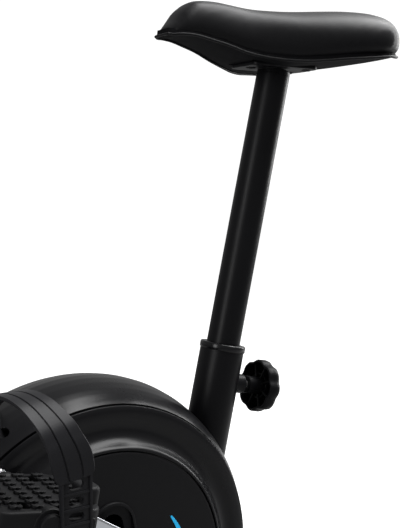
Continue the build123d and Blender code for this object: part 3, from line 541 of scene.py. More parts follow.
crown_line = [(crown_radius(y), y) for y in np.linspace(-56.6, 56.6, 59)]
inner_line = [(crown_radius(y) - 3, y) for y in np.linspace(55.6, -55.6, 30)]
crown = turned("housing_crown", crown_line + inner_line, HUB, (0, 1, 0), HOUSING, steps=256)
tube_gap = rod(26, -130, 0, on_seat(30), SEAT_UP, 48)
tube_foot = rod(26, 0, 60, on_seat(352), SEAT_UP, 48)
mast_gap = rod(25, 0, 120, on_mast(350), MAST_UP, 48)
BEAM_ROOM = [(-250, -20.5), (250, -20.5), (250, 20.5), (-250, 20.5)]
beam_gap = plate("gap", BEAM_ROOM, (50, 0, 40), (1, 0, 0), (0, 1, 0), 85.5, HOUSING)
cut(crown, tube_gap, tube_foot, mast_gap, beam_gap)
SCREW_OUT = Vector((-0.5, 0, 0.866))
for way in (-1, 1):
    at = Vector((-41, way * 40, 412))
    recess = turned("recess", [(0, -14), (5.6, -14), (5.6, 1), (6.6, 12), (0, 12)], at, SCREW_OUT, HOUSING,
                    40)
    cut(crown, recess)
hang(crown, "frame", "shroud_plastic", "shroud_crown")

# %% [markdown]
# ## Side covers
# Each cover is one dished moulding with a thin wall, so its profile runs out over
# the rolled edge and back along the inside. The valley that circles the disc and
# the bright edge beside it are both in that one line. The same profile turned the
# other way makes the far side.

# %% Side covers
COVER_LINE = [
    (168.2, 54.6), (169.8, 55.0), (170.2, 57.9), (171.7, 58.1), (172.1, 58.8), (171.8, 60.0), (170.6, 60.8),
    (166, 61.3), (161, 61.3), (157.5, 60.6), (154.5, 59.5), (151.5, 58.9), (148.5, 58.9), (145.5, 59.4),
    (142.5, 60.6), (139.5, 62.6), (137, 65.2), (135, 68.3), (133.6, 70.6), (132.2, 71.8), (131.2, 72.0),
    (130.5, 71.6), (130.3, 70.6), (130.3, 67.9), (90, 67.9), (90, 65), (128, 65), (134, 62), (138, 59),
    (145, 56.4), (160, 57.0), (167, 54.8),
]
for side_word, way in SIDES:
    cover = turned(side_word + "_side_cover", COVER_LINE, HUB, (0, way, 0), HOUSING, steps=256)
    hang(cover, "frame", "shroud_plastic", side_word + "_cover")

# %% [markdown]
# ## Centre discs
# A flat disc snaps into each cover behind a fine gap. Above the crank axle it has
# a long opening with a raised lip, and a blue arc is printed near its rim. The
# lip and the opening are cut in, and the arc is a thin raised crescent.

# %% Discs with lip and arc
OPEN_TOP = (-4, 20)


def side_cut(name, outline, from_y, way, deep, material):
    """A slab that faces out from one side, placed from the crank axle."""
    return plate(name, outline, (CRANK.x, way * from_y, CRANK.z), (-way, 0, 0), (0, 0, 1), deep, material)


def facing(outline, way):
    """An outline as it is for the left side, or mirrored for the right one."""
    return [(a if way < 0 else -a, b) for a, b in outline]


def arc_edge(sign, steps=32):
    """Outer or inner edge of the blue crescent, from its upper end down."""
    pts = []
    for k in range(steps + 1):
        a = math.radians(36 - 81 * k / steps)
        r = 87.5 + sign * 3.2 * math.sin(math.pi * (0.06 + 0.94 * k / steps)) ** 0.7
        pts.append((r * math.cos(a), r * math.sin(a)))
    return pts


disc_line = [
    (0, 68.2), (127.6, 68.2), (128.6, 68.8), (128.9, 70.4), (128.6, 71.4), (127.6, 71.95), (126.4, 72.0),
    (0, 72.0),
]
for side_word, way in SIDES:
    disc = turned(side_word + "_side_disc", disc_line, HUB, (0, way, 0), DISC, steps=256)
    lip = side_cut("lip", facing(hull_line(24.6, OPEN_TOP, 24.6, (0, 0), 40), way), 70.5, way, 4.0, DISC)
    round_edges(lip, 1.2, 3)
    cut(disc, lip, keep="UNION")
    dish = side_cut("dish", facing(hull_line(21.6, OPEN_TOP, 21.6, (0, 0), 40), way), 71.2, way, 9, DISC)
    mouth = side_cut("mouth", facing(hull_line(12, OPEN_TOP, 12, (0, 0), 32), way), 60, way, 20, DISC)
    cut(disc, dish, mouth)
    hang(disc, "frame", "disc_plastic", side_word + "_disc")
    outline = facing(arc_edge(1) + arc_edge(-1)[::-1], way)
    crescent = plate(side_word + "_blue_arc", outline, (HUB.x, way * 72.02, HUB.z), (-way, 0, 0), (0, 0, 1),
                     0.5, BLUE)
    hang(crescent, "frame", "blue_trim", side_word + "_accent")

# %% [markdown]
# ## Seat tube collar and post
# A plastic bush lines the steel tube. Only its collar shows, as a smooth rim a
# little wider than the tube, with a fine groove below it. The tube and the post
# keep their measured solids.

# %% Collar
PIN_DOWN = 36.8
collar_line = [
    (19.1, 7), (19.1, -95), (22.9, -95), (22.9, -0.1), (25.6, -0.1), (26.0, 0.5), (26.0, 5.6), (25.6, 6.6),
    (24.8, 7.2), (20.2, 7.2), (19.5, 7.1),
]
collar = turned("post_collar", collar_line, on_seat(0), SEAT_UP, GLOSSY, 96)
pin_way = rod(5.4, 10, 40, on_seat(PIN_DOWN), SEAT_BACK, 32)
cut(collar, pin_way)
hang(collar, "frame", "gloss_black", "seat_bush")

# %% [markdown]
# ## Lobed knob
# The pull knob is moulded hollow: a scalloped rim, a closed face towards the
# hand, and ribs that run from the hub to the rim at the back, which is the side
# one sees from the front of the bike.

# %% Knob
KNOB_BACK = 57.6
LOBES = 8


def lobed(radius, depth, steps=160):
    pts = []
    for k in range(steps):
        a = 2 * math.pi * k / steps
        wave = math.cos(LOBES * a)
        r = radius - depth * (0.5 - 0.5 * wave) ** 1.6
        pts.append((r * math.cos(a), r * math.sin(a)))
    return pts


def skin(name, rings, material, sharp=38):
    """Rings of equal length joined one to the next, with both ends closed."""
    points = [p for ring in rings for p in ring]
    faces = []
    n, last = len(rings[0]), len(rings) - 1
    for k in range(last):
        for i in range(n):
            j = (i + 1) % n
            faces.append((k * n + i, k * n + j, (k + 1) * n + j, (k + 1) * n + i))
    faces.append(tuple(range(n - 1, -1, -1)))
    faces.append(tuple(range(last * n, (last + 1) * n)))
    return solid(name, points, faces, material, sharp)


def ring_stack(name, levels, origin, u, v, w, material, sharp=38):
    """Outlines of equal length, each at its own height along w, skinned as one piece."""
    rings = []
    for height, outline in levels:
        rings.append([Vector(origin) + Vector(u) * a + Vector(v) * b + Vector(w) * height for a,
                      b in outline])
    return skin(name, rings, material, sharp)


ku, kv, kw = frame_of(SEAT_BACK)
knob_at = on_seat(PIN_DOWN, KNOB_BACK)
knob = ring_stack("seat_pull_knob", [
    (-1.0, lobed(29.6, 2.0)), (0.0, lobed(30.4, 2.2)), (9, lobed(30.6, 2.2)), (12.6, lobed(29.8, 2.1)),
    (15.2, lobed(27.2, 1.8)), (16.4, lobed(23.5, 1.2)), (16.8, lobed(17.0, 0.6)), (16.2, lobed(12, 0.2)),
    (15.4, lobed(8, 0.0)), (15.2, lobed(2, 0.0)),
], knob_at, ku, kv, kw, MATT, 50)
hollow = ring_stack("hollow", [(-3, lobed(27.6, 2.0)), (11.0, lobed(27.0, 1.9))], knob_at, ku, kv, kw, MATT)
cut(knob, hollow)
ribs = []
for k in range(LOBES):
    a = 2 * math.pi * (k + 0.5) / LOBES
    out = ku * math.cos(a) + kv * math.sin(a)
    across = ku * -math.sin(a) + kv * math.cos(a)
    rib = plate("rib", [(6, -1.1), (25.6, -0.8), (25.6, 0.8), (6, 1.1)], knob_at + kw * 2.0, out, across,
                9.5, MATT)
    ribs.append(rib)
hub = turned("hub", [(5.05, -15), (9.2, -15), (10, -14.2), (10, 4), (10.4, 11.5), (5.05, 11.5)], knob_at,
             kw, MATT, 64)
step_ring = turned("ring", [(13.2, 4), (14.8, 4), (14.8, 11.5), (13.2, 11.5)], knob_at, kw, MATT, 64)
knob = join("seat_pull_knob", [knob, hub, step_ring] + ribs)
hang(knob, "pull_pin", "black_plastic", "seat_knob")

# %% [markdown]
# ## Saddle
# The saddle is a padded cushion on a plastic pan. Its sections are set station by
# station from nose to tail: a low slanting nose, a slowly widening neck, then full wings. The
# cushion's section is a rounded box, rounder above its waist and squarer below, with a
# shallow hollow underneath. A subdivided cube would be quicker to start, but
# sections let each height and width be set by itself.

# %% Saddle sections
STATION = [
    (156, 10, 799, 793), (158, 14, 801, 792.5), (162, 18, 805, 792), (168, 21.5, 811, 792.5),
    (176, 24.5, 823, 793), (190, 27.5, 833, 791), (205, 30.5, 834.5, 787.5), (220, 33.5, 834.2, 784),
    (235, 37, 832.8, 779), (250, 42, 830.5, 775), (265, 49, 829.8, 772.5), (280, 58, 829.8, 770.5),
    (300, 71, 830, 769), (320, 84, 831.2, 770.5), (340, 95, 833, 772.5), (360, 103, 834.5, 774),
    (380, 107, 835, 776), (392, 105, 834.5, 777.5), (402, 101, 834, 778.5), (412, 94, 832, 779.5),
    (420, 86, 827.5, 780.5), (426, 76, 820, 782), (429, 65, 811, 785), (430, 54, 803, 790),
]


def station(x):
    return tuple(float(np.interp(x, [row[0] for row in STATION], [row[k] for row in STATION])) for k in (1,
                                                                                                         2,
                                                                                                         3))


def pad_ring(x, inset, steps=72):
    half, top, low = station(x)
    half, top, low = half - inset, top - inset, low + inset
    waist = low + 0.34 * (top - low)
    ring = []
    for k in range(steps):
        a = 2 * math.pi * k / steps
        c, d = math.cos(a), math.sin(a)
        power = 2 / 2.9 if d >= 0 else 2 / 6
        y = half * math.copysign(abs(c) ** power, c)
        if d < 0:
            y *= 1 - 0.05 * abs(d)
            z = waist - (waist - low) * abs(d) ** (2 / 4)
            z += 5.0 * max(0.0, 1 - (y / (half * 0.9)) ** 2) * (d < -0.7)
        else:
            z = waist + (top - waist) * d ** (2 / 2.3)
        ring.append((x, y, z))
    return ring


def pad_shape(name, inset, low_x, high_x, material, count=46):
    """Sections skinned from nose to tail, closer together near both ends."""
    rings = []
    for t in np.linspace(0, 1, count):
        e = 0.5 - 0.5 * math.cos(math.pi * t)
        rings.append(pad_ring(low_x + (high_x - low_x) * (0.55 * e + 0.45 * t), inset))
    return skin(name, rings, material, 60)


print(len(STATION), "saddle stations, widest", 2 * max(row[1] for row in STATION), "mm")

# %% [markdown]
# ## Cushion
# A stretched vinyl cover over foam crowns between its edges. The sections are
# remeshed to an even grid, and the grid is inflated as cloth with its lower edge
# held. The cloth is stiff, because a softer one crumpled, so it moves the cover
# by no more than about 3 mm and the sections give most of the form. A little
# smoothing then takes the steps of the grid away.

# %% Cushion as inflated cloth
GRID = 4.5
HELD_EDGE = 8
MOST_MOVE = 5 * MM
SMOOTH = 180
cushion = pad_shape("saddle_pad", 0.6, 156.3, 429.6, VINYL)
grid = cushion.modifiers.new("grid", "REMESH")
grid.mode = "VOXEL"
grid.voxel_size = GRID * MM
settle(cushion, SMOOTH)
before = np.array([v.co[:] for v in cushion.data.vertices])
rim = cushion.vertex_groups.new(name="rim")
for v in cushion.data.vertices:
    half, top, low = station(v.co.x / MM)
    if v.co.z / MM < low + HELD_EDGE:
        rim.add([v.index], 1.0, "REPLACE")
cloth = cushion.modifiers.new("cover", "CLOTH")
cloth.settings.quality = 8
cloth.settings.mass = 0.3
cloth.settings.tension_stiffness = 25
cloth.settings.compression_stiffness = 25
cloth.settings.shear_stiffness = 8
cloth.settings.bending_stiffness = 6
cloth.settings.shrink_min = 0.0
cloth.settings.use_pressure = True
cloth.settings.uniform_pressure_force = 4
cloth.settings.effector_weights.gravity = 0
cloth.settings.vertex_group_mass = "rim"
for k in range(1, 21):
    scene.frame_set(k)
settle(cushion, SMOOTH)
scene.frame_set(1)
after = np.array([v.co[:] for v in cushion.data.vertices])
move = after - before
far = np.linalg.norm(move, axis=1, keepdims=True)
move *= np.minimum(1.0, MOST_MOVE / np.maximum(far, 1e-9))
for v, p in zip(cushion.data.vertices, before + move):
    v.co = p
print("cover moved up to", round(float(far.max()) * 1000, 1), "mm, mean",
      round(float(far.mean()) * 1000, 2), "mm")
calm = cushion.modifiers.new("calm", "SMOOTH")
calm.factor = 0.5
calm.iterations = 4
settle(cushion, SMOOTH)
fine = cushion.modifiers.new("fine", "SUBSURF")
fine.levels = 1
settle(cushion, SMOOTH)
hang(cushion, "seat", "vinyl", "saddle_cushion")

# %% [markdown]
# ## Bead and pan
# The cover is pulled round the edge of a moulded pan, and a thin bead shows
# along that edge. The bead is swept through points on the same stations as the
# cushion, so it follows the dip of the lower edge. The pan is skinned from the
# stations too, with a slight belly, and two screw dimples are drilled under it.

# %% Bead, pan and screw dimples
def rim_point(x, way):
    half, top, low = station(x)
    return Vector((x, way * half * 0.95, low + 1.8))


rim_x = [156.5, 158, 162, 170, 184, 200, 220, 240, 258, 275, 292, 312, 335, 360, 380, 396, 408, 417, 424,
         428, 429.4]
near_side = [rim_point(x, -1) for x in rim_x]
far_side = [rim_point(x, 1) for x in reversed(rim_x)]
edge_line = spline(near_side + far_side, 6, closed=True)
bead = swept("saddle_bead", edge_line, circle_line(1.5, 10), VINYL, closed=True, side_hint=(0, 0, 1))
hang(bead, "seat", "vinyl")

PAN_X = [158, 162, 168, 176, 188, 204, 222, 240, 258, 276, 294, 314, 338, 364, 384, 398, 409, 418, 424, 428]
pan_rings = []
for x in PAN_X:
    half, top, low = station(x)
    across_pan = [-1 + 2 * k / 32 for k in range(33)]
    under = [(x, t * (half * 0.95 - 0.6), low + 2.6 - 2.0 * (1 - abs(t) ** 3)) for t in across_pan]
    over = [(x, -t * (half * 0.93 - 2.0), low + 8.5) for t in across_pan]
    pan_rings.append(under + over)
pan = skin("saddle_pan", pan_rings, UNDER, 40)
dimple_line = [(0, -6), (2.6, -6), (2.6, 1.6), (3.4, 6), (0, 6)]
dimples = [turned("dimple", dimple_line, (262, y, 771.5), (0, 0, -1), UNDER, 32) for y in (-22, 22)]
cut(pan, *dimples)
hang(pan, "seat", "gloss_black", "saddle_base")

# %% [markdown]
# ## Crank arms
# The crank arms are flat forgings, wide at the axle and narrower at the pedal,
# with all edges rounded before plating. The outline round two circles gives the
# taper from two radii, and a turned boss at each end thickens it for its bore.
# The bores are drilled before the bosses are joined on, so no cut has to work on
# pieces that overlap.

# %% Crank arms
RIGHT_PEDAL = Vector((184, 0, 194))
LEFT_PEDAL = Vector((-68, 0, 388))
PEDAL_SIDES = (("left", -1, LEFT_PEDAL), ("right", 1, RIGHT_PEDAL))
AXLE_BORE = 10.02
TIP_BORE = 7.02
HUB_BOSS = [
    (AXLE_BORE, 0), (18.2, 0), (19, 0.8), (19, 15), (18.2, 16), (12.6, 16), (12, 15.4), (AXLE_BORE, 15.4),
]
TIP_BOSS = [(TIP_BORE, 0), (10.8, 0), (11.4, 0.6), (11.4, 12.2), (10.6, 13), (TIP_BORE, 13)]
for side_word, way, pedal_at in PEDAL_SIDES:
    out = Vector((0, way, 0))
    reach = pedal_at - CRANK
    tip = (reach.x, reach.z)
    arm = side_cut("arm", facing(hull_line(18.4, (0, 0), 11.0, tip, 32), way), 81.5, way, 11.5, CHROME)
    round_edges(arm, 2.6, 4)
    hub_boss = turned("boss", HUB_BOSS, CRANK + out * 80, out, CHROME, 96)
    tip_boss = turned("boss", TIP_BOSS, pedal_at + out * 81, out, CHROME, 96)
    cut(arm, rod(AXLE_BORE, -8, 24, CRANK + out * 80, out), rod(TIP_BORE, -8, 24, pedal_at + out * 80, out))
    arm = join(side_word + "_crank_arm", [arm, hub_boss, tip_boss])
    hang(arm, "crank", "chrome", side_word + "_crank")

# %% [markdown]
# ## Pedals
# Each pedal is a moulded platform on a barrel that turns on the spindle. Both
# faces carry rows of small chevron teeth for grip, and a raised block sits at the
# rear outer corner. The teeth are separate little plates rounded together: real
# geometry gives them an outline, which a bump in the material would not.

# %% Pedals
PEDAL_LEAN = math.radians(11)
PEDAL_MIDDLE = 154
BARREL_FROM = 105
PEDAL_U = Vector((math.cos(PEDAL_LEAN), 0, -math.sin(PEDAL_LEAN)))
PEDAL_W = Vector((math.sin(PEDAL_LEAN), 0, math.cos(PEDAL_LEAN)))
BARREL = [
    (6.06, 0), (12.0, 0), (13.2, 1.2), (13.2, 7), (11.4, 9), (11.4, 89), (13.6, 91), (13.6, 97),
    (12.8, 98.4), (10.0, 98.6), (9.8, 102.0), (8.6, 103), (0, 103), (0, 96), (6.06, 96),
]
CHEVRON = [
    (-5, -3.4), (-2.5, -1.4), (0, -3.4), (2.5, -1.4), (5, -3.4), (5, 1.6), (2.5, 3.6), (0, 1.6),
    (-2.5, 3.6), (-5, 1.6),
]
for side_word, way, pedal_at in PEDAL_SIDES:
    out = Vector((0, way, 0))
    u = PEDAL_U
    mid = pedal_at + out * PEDAL_MIDDLE
    frame_ring = plate("frame", round_box(92, 98, 15, 8), mid - PEDAL_W * 11.2 * way, u, out, 22.4, TREAD)
    round_edges(frame_ring, 2.4, 3)
    for lane in (-1, 1):
        for slot_y in (-33, 33):
            corner = mid + u * lane * 17.5 + out * slot_y - PEDAL_W * 20 * way
            window = plate("window", round_box(9, 17, 4, 5), corner, u, out, 40, TREAD)
            cut(frame_ring, window)
    barrel_at = pedal_at + out * BARREL_FROM
    barrel = turned("barrel", BARREL, barrel_at, out, TREAD, 72)
    cut(frame_ring, rod(6.5, -2, 95, barrel_at, out, 48))
    teeth = []
    for height in (10.6, -13.6):
        for row_u in (-38, -26, -8, 8, 26, 38):
            for step in range(8):
                if abs(row_u) == 38 and step in (0, 7):
                    continue
                at = mid + out * (-39.5 + step * 11.3) + u * row_u + PEDAL_W * height
                teeth.append(plate("tooth", CHEVRON, at, u * way, out, 3.0, TREAD))
    tread = join("tread", teeth)
    round_edges(tread, 0.5, 2)
    lug_at = mid + out * 47.5 + u * 24 - PEDAL_W * 1.5
    lug = plate("lug", round_box(26, 15, 3, 4), lug_at, u, PEDAL_W, -5.0 * way, TREAD)
    round_edges(lug, 1.2, 3)
    bumper_at = mid + u * 39 + out * 24 - PEDAL_W * (0 if way > 0 else -25)
    bumper = plate("bumper", round_box(18, 27, 8.5, 8), bumper_at, u, out, 25, TREAD)
    round_edges(bumper, 3.6, 5)
    pedal = join(side_word + "_pedal_body", [frame_ring, barrel, tread, lug, bumper])
    hang(pedal, side_word + "_pedal", "pedal_plastic", side_word + "_pedal")

# %% [markdown]
# ## Straps
# A moulded rubber strap rises from the outer edge of the pedal, arches over the
# foot and comes down inside. The route is a list of points from the pedal's axle,
# each with the band's width there, and the section has two grooves. The slotted
# tongue is a plate of its own with rails and bars, and its slots are cut before
# the band is joined to it.

# %% Straps
STRAP_WIDE = 34
TONGUE_BACK = 19.5
STRAP_ROUTE = [
    (19, 208.4, 34, 28), (18.6, 208.4, 37, 32), (17.6, 208.2, 44, 34), (15.6, 207.2, 53, 34),
    (12, 204.4, 64, 31), (7, 198.0, 76, 30), (0, 181.0, 88, 29), (-6, 160.0, 92, 29), (-12, 138.0, 88, 29),
    (-18, 115.0, 75, 29), (-25, 104.6, 54, 30), (-27, 103.2, 34, 32), (-27, 103.2, 12, 32),
    (-27, 103.2, -8, 32),
]
for side_word, way, pedal_at in PEDAL_SIDES:
    line = spline([(pedal_at.x + a, way * b, pedal_at.z + c) for a, b, c, w in STRAP_ROUTE], 6)
    widths = [float(p.x) for p in spline([(w, 0, 0) for a, b, c, w in STRAP_ROUTE], 6)]
    grow = [(w / STRAP_WIDE, 1) for w in widths]
    face = [(-16.4, -1.5), (16.4, -1.5), (17, -0.9), (17, 0.9), (16.4, 1.6), (7.4, 1.6), (6.7, 0.7),
            (5.9, 0.7), (5.2, 1.6),
            (-5.2, 1.6), (-5.9, 0.7), (-6.7, 0.7), (-7.4, 1.6), (-16.4, 1.6), (-17, 0.9), (-17, -0.9)]
    probe = (line[1] - line[0]).normalized().cross(Vector((1, 0, 0)))
    if probe.y * way < 0:
        face = [(a, -b) for a, b in reversed(face)]
    band = swept("band", line, face, STRAP, side_hint=(1, 0, 0), scale=grow, sharp=30)
    tongue_at = Vector((pedal_at.x + TONGUE_BACK, way * 205.2, pedal_at.z))
    across = Vector((-way, 0, 0))
    rise = Vector((0, 0, 1))
    tongue_line = [(-13.4, -17), (-11.4, -18.6), (11.4, -18.6), (13.4, -17), (13.4, 42), (11.4, 44),
                   (-11.4, 44), (-13.4, 42)]
    tongue = plate("tongue", tongue_line, tongue_at, across, rise, 3.2, STRAP)
    ribs = []
    for a in (-13.2, 10.8):
        rail_line = [(a, -15), (a + 2.4, -15), (a + 2.4, 37), (a, 37)]
        ribs.append(plate("rail", rail_line, tongue_at, across, rise, 4.6, STRAP))
    for b in (22.0, 9.6, -2.4, 35):
        bar_line = [(-11, b), (11, b), (11, b + 2.2), (-11, b + 2.2)]
        ribs.append(plate("bar", bar_line, tongue_at, across, rise, 4.2, STRAP))
    for part in [tongue] + ribs:
        round_edges(part, 0.7, 2)
    for height in (29.6, 16.4, 4.6):
        slot_at = (pedal_at.x + TONGUE_BACK, way * 200, pedal_at.z + height)
        slot = plate("slot", round_box(12.6, 7.4, 3.6, 6), slot_at, across, rise, 20, STRAP)
        cut(tongue, slot)
    strap = join(side_word + "_toe_strap", [band, tongue] + ribs)
    hang(strap, side_word + "_pedal", "strap_rubber", side_word + "_strap")

# %% [markdown]
# ## Boot at the foot of the mast
# A soft boot closes the gap where the mast enters the housing. It flares towards
# the crown and ends in two shallow folds.

# %% Boot
boot_line = [(25.5, -26), (53, -26), (54.4, -8), (54.0, -3), (52.6, 0), (51.0, 1.4), (47.5, 10), (44.0, 20),
             (40.2, 34), (36.6, 50),
             (34.0, 64), (32.4, 74), (32.8, 76), (32.8, 79), (32.0, 80.6), (30.6, 84), (30.8, 86),
             (30.8, 90), (30.0, 92.4), (28.2, 93.2), (25.5, 93.2)]
boot = turned("mast_foot_boot", boot_line, on_mast(404), MAST_UP, MATT, 128)
hang(boot, "frame", "black_plastic", "mast_boot")

# %% [markdown]
# ## Saddle fixing plate
# A pressed plate bolts the pan to a plug in the post. Three low screw heads hold
# it, and the plug fits inside the tube.

# %% Fixing plate
POST_TOP = SLEEVE_TOP + SEAT_UP * 318
fix = plate("fix", round_box(92, 52, 9, 6), (POST_TOP.x + 2, 0, 769.4), (1, 0, 0), (0, 1, 0), 4.4, PAINT)
round_edges(fix, 1.0, 2)
plug = turned("plug", [(0, -40), (16.9, -40), (16.9, 0.05), (18.9, 0.05), (18.9, 5.6), (0, 5.6)], POST_TOP,
              SEAT_UP, PAINT, 64)
heads = []
for dx, dy in ((-32, 0), (36, 16), (36, -16)):
    heads.append(turned("head", [(0, 0), (5.6, 0), (5.6, -0.8), (4.4, -1.7), (2.4, -1.8), (2.3, -0.6),
                                 (0, -0.6)],
                        (POST_TOP.x + dx, dy, 769.6), (0, 0, 1), PAINT, 40))
fix = join("saddle_fixing_plate", [fix, plug] + heads)
hang(fix, "seat", "zinc_steel", "saddle_clamp")

# %% [markdown]
# ## Console
# The console is a shallow moulded case that leans back towards the rider. It has
# a stepped face, a recessed window, four round keys in dished wells, and a
# socket at the back for the mast.

# %% Console case
CON_N = Vector((math.cos(math.radians(50)), 0, math.sin(math.radians(50))))
CON_UP = Vector((-CON_N.z, 0, CON_N.x))
CON_AT = Vector((-150, 0, 1078))
ACROSS = Vector((0, 1, 0))
KEY_SPOTS = (-57, -19, 19, 57)
CONSOLE_SOCKET = 1035


def face_at(out, up=0.0, across=0.0):
    return CON_AT + CON_N * out + CON_UP * up + ACROSS * across


def case_ring(wide, tall, corner):
    return [(b, a) for a, b in round_box(tall, wide, corner, 10)]


case = ring_stack("console_case", [
    (-30, case_ring(140, 86, 22)), (-29.4, case_ring(146, 92, 22)), (-27, case_ring(151, 97, 22)),
    (-18, case_ring(166, 110, 23)), (-8, case_ring(188, 128, 25)), (-2, case_ring(200, 139, 26)),
    (0, case_ring(204, 142, 26)), (1.6, case_ring(204, 142, 26)), (2.0, case_ring(202.6, 140.6, 25.4)),
    (2.6, case_ring(202.6, 140.6, 25.4)), (3.0, case_ring(204, 142, 26)),
    (5.6, case_ring(203.2, 141.2, 25.6)), (7.2, case_ring(200.4, 138.4, 24.5)),
    (8, case_ring(196, 134, 22)),
], CON_AT, ACROSS, CON_UP, CON_N, MATT, 40)
window = ring_stack("window", [(5.0, case_ring(152.6, 78.6, 6.3)), (7.4, case_ring(152.6, 78.6, 6.3)),
                               (9.5, case_ring(158, 84, 8))],
                    face_at(0, 18), ACROSS, CON_UP, CON_N, MATT)
cut(case, window)
for bx in KEY_SPOTS:
    well = turned("well", [(0, -4), (10.5, -4), (10.5, 6.4), (12.4, 8.6), (0, 8.6)], face_at(0, -44, bx),
                  CON_N, MATT, 64)
    cut(case, well)
socket_line = [(25.1, -18), (28.2, -18), (29, -17), (29.6, 6), (33, 20), (25.1, 20)]
mast_socket = turned("mast_socket", socket_line, on_mast(CONSOLE_SOCKET), MAST_UP, MATT, 96)
cut(case, rod(25.1, -60, 0.5, on_mast(CONSOLE_SOCKET), MAST_UP))
case = join("console_case", [case, mast_socket])
hang(case, "frame", "black_plastic", "console_housing")

# %% [markdown]
# ## Window and keys
# The window is one glossy pane with a raised border and a sunken middle, so it
# is stacked from the same rounded outlines as the case. Each key is a small
# turned cap that stands in its own well, and each rides on its own body so that
# it can be pressed.

# %% Window and keys
pane = ring_stack("console_window", [
    (5.2, case_ring(152, 78, 6)), (6.4, case_ring(152, 78, 6)), (7.0, case_ring(150.8, 76.8, 5.4)),
    (7.1, case_ring(126, 54, 4)), (6.7, case_ring(124.6, 52.6, 3.6)), (6.7, case_ring(110, 40, 3)),
], face_at(0, 18), ACROSS, CON_UP, CON_N, GLASS, 30)
hang(pane, "frame", "lcd", "console_screen")
for k, bx in enumerate(KEY_SPOTS):
    key = turned(f"console_key_{k + 1}", [(0, -1), (9.9, -1), (9.9, 8.6), (9.3, 9.6), (8.2, 10.0),
                                          (6.4, 9.7), (3.0, 9.3), (0, 9.2)],
                 face_at(0, -44, bx), CON_N, GREY, 64)
    hang(key, f"button_{k + 1}", slot_of[f"console_button_{k + 1}"], f"console_button_{k + 1}")

# %% [markdown]
# ## Handlebar grips and sensors
# A foam grip is a tube with shallow ribs and a rolled lip at its end, and a steel
# hand sensor is a thin shell with a raised ring at each end and one between. Both
# are turned along the line of the bar.

# %% Grips and hand sensors
RISE = math.radians(24)
BAR_BACK = Vector((math.cos(RISE), 0, math.sin(RISE)))
BAR_AT = Vector((-113, 0, 985))
BEND_AT, END_AT, SPLAY = 95, 226, 70
GRIP_FROM, GRIP_TO = (229.936, 111), (238, 195)
GRIP_RIBS = 15


def on_bar(across, back):
    return BAR_AT + ACROSS * across + BAR_BACK * back


def on_splay(way, across):
    """A point on the straight part that runs outward and back from the bend."""
    return on_bar(way * across, (across - BEND_AT) * SPLAY / (END_AT - BEND_AT))


for side_word, way in SIDES:
    start = on_bar(way * GRIP_FROM[0], GRIP_FROM[1])
    end = on_bar(way * GRIP_TO[0], GRIP_TO[1])
    along = (end - start).normalized()
    long = (end - start).length
    ribs_line = [(12.8, 0.4), (15.6, 0.2), (16.6, 1.2), (16.6, 4.4), (15.6, 5.2)]
    for k in range(GRIP_RIBS):
        h = 8 + k * (long - 16) / GRIP_RIBS
        ribs_line += [(15.3, h), (16.3, h + 1.4), (16.3, h + 3.2), (15.3, h + 4.6)]
    ribs_line += [(15.8, long - 4), (16.8, long - 2.6), (16.8, long + 1.4), (15.6, long + 3.4),
                  (12, long + 4), (0, long + 4), (0, long + 0.2), (12.8, long + 0.2)]
    grip = turned(side_word + "_foam_grip", ribs_line, start, along, FOAM, 72, 50)
    hang(grip, "handlebar", "foam", side_word + "_grip")
    inner = on_splay(way, 132)
    outer = on_splay(way, 188)
    long = (outer - inner).length
    shell_line = [
        (12.75, 0), (14.4, 0), (15, 0.6), (15, 3.6), (14.4, 4.2), (14.2, 5), (14.2, long / 2 - 1.4),
        (14.8, long / 2 - 0.8), (14.8, long / 2 + 0.8), (14.2, long / 2 + 1.4), (14.2, long - 5),
        (14.4, long - 4.2), (15, long - 3.6), (15, long - 0.6), (14.4, long), (12.75, long),
    ]
    shell = turned(side_word + "_hand_sensor", shell_line, inner, outer - inner, ZINC, 72)
    hang(shell, "handlebar", slot_of[side_word + "_pulse_sensor"], side_word + "_pulse_sensor")

# %% [markdown]
# ## Clamp cover and resistance knob
# The clamp cover is a chamfered block with the bar through it and two sunk screw
# holes on the side towards the rider. The knob has a round skirt and a fluted
# grip, which is why it is stacked from outlines and not turned: flutes are not
# round about the axis.

# %% Clamp cover and resistance knob
cover_line = [(0.4, -22), (8.2, -22), (10.4, -21), (18, -13.4), (19, -11), (19, 11), (18, 13.4), (10.4, 21),
              (8.2, 22), (0.4, 22)]
shield = plate("bar_clamp_cover", cover_line, BAR_AT + ACROSS * 24, MAST_BACK, MAST_UP, 48, MATT)
round_edges(shield, 1.4, 3)
cut(shield, rod(12.76, -40, 40, BAR_AT, ACROSS))
sink_line = [(0, -20), (3.25, -20), (3.25, 10), (5.5, 10), (5.5, 18), (6.4, 20), (0, 20)]
for up in (-17.5, 17.5):
    sink = turned("sink", sink_line, BAR_AT + MAST_UP * up, MAST_BACK, MATT, 40)
    cut(shield, sink)
hang(shield, "frame", slot_of["clamp_cover"], "clamp_cover")

FLUTES = 12
dial_at = on_mast(800, 25.5)
du, dv, dw = frame_of(MAST_BACK)


def fluted(radius, depth, steps=192):
    pts = []
    for k in range(steps):
        a = 2 * math.pi * k / steps
        r = radius - depth * max(0.0, math.cos(FLUTES * a)) ** 2
        pts.append((r * math.cos(a), r * math.sin(a)))
    return pts


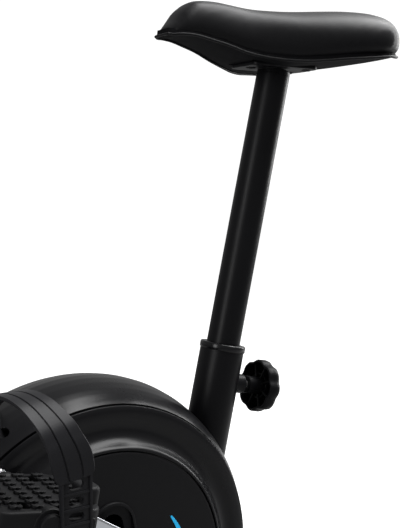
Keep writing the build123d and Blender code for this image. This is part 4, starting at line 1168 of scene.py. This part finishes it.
dial = ring_stack("resistance_dial", [
    (0, fluted(26.6, 0)), (0.6, fluted(27, 0)), (3.4, fluted(27, 0)), (4.8, fluted(26, 0)),
    (5.2, fluted(22.4, 0.2)), (6.4, fluted(21, 1.6)), (21, fluted(20.2, 1.6)), (23.6, fluted(19.0, 1.2)),
    (24.5, fluted(17, 0.4)), (24.2, fluted(12.5, 0.0)), (23.6, fluted(11.5, 0)), (23.5, fluted(3, 0)),
], dial_at, du, dv, dw, MATT, 40)
pointer = plate("pointer", [(-0.9, 13), (0.9, 13), (0.9, 18.6), (-0.9, 18.6)], dial_at + dw * 24.0, du, dv,
                0.7, GREY)
dial = join("resistance_dial", [dial, pointer])
hang(dial, "tension_knob", slot_of["tension_knob"], "tension_knob")

# %% [markdown]
# ## Feet
# The rear bar ends in blocky plastic feet with chamfered tops, and the front caps
# carry small transport wheels with a dished hub and a soft tyre. A wheel is
# turned, because it must look round from every side. A foot is a plate in the
# outline of its side view, with a socket drilled for the bar.

# %% Wheels and rear caps
TYRE = [
    (0, -9), (4, -9), (4, 0), (7.4, 0), (8.2, 1.6), (14.6, 1.6), (15.6, 0), (20, 0), (21.4, 0.8), (22, 2.4),
    (22, 9.2), (21.4, 9.8), (21.4, 11.2), (22, 11.8), (22, 18.6), (21.4, 20.2), (20, 21), (15.6, 21),
    (14.6, 19.4), (8.2, 19.4), (7.4, 21), (4, 21), (4, 30), (0, 30),
]
FOOT = [
    (-26, 0), (26, 0), (30.6, 1.6), (32, 6), (32, 42), (30.6, 46), (22, 64), (18, 67.4), (14, 68),
    (-14, 68), (-18, 67.4), (-22, 64), (-30.6, 46), (-32, 42), (-32, 6), (-30.6, 1.6),
]
for side_word, way in SIDES:
    y_low = min(way * 183, way * 235)
    tyre = turned(side_word + "_wheel_tyre", TYRE, (-408, y_low + 15.5, 28), (0, 1, 0), GREY, 96)
    hang(tyre, side_word + "_wheel", slot_of["transport_wheel_" + side_word],
         "transport_wheel_" + side_word)
    y_low = min(way * 155, way * 205)
    foot = plate("rear_foot", FOOT, (398, y_low + 50, 0), (1, 0, 0), (0, 0, 1), 50, MATT)
    round_edges(foot, 1.8, 3, 60)
    sock_y = y_low - 5 if way > 0 else y_low + 8
    cut(foot, rod(25.05, 0, 47, (398, sock_y, 40), (0, 1, 0), 72))
    foot.name = "rear_foot_" + side_word
    hang(foot, "frame", slot_of["rear_cap_" + side_word], "rear_cap_" + side_word)

# %% [markdown]
# ## The box of the finished bike is printed.

# %% Print the finished box and close the scene
low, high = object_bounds()
print("finished box", [round(v, 3) for v in (*low, *high)])
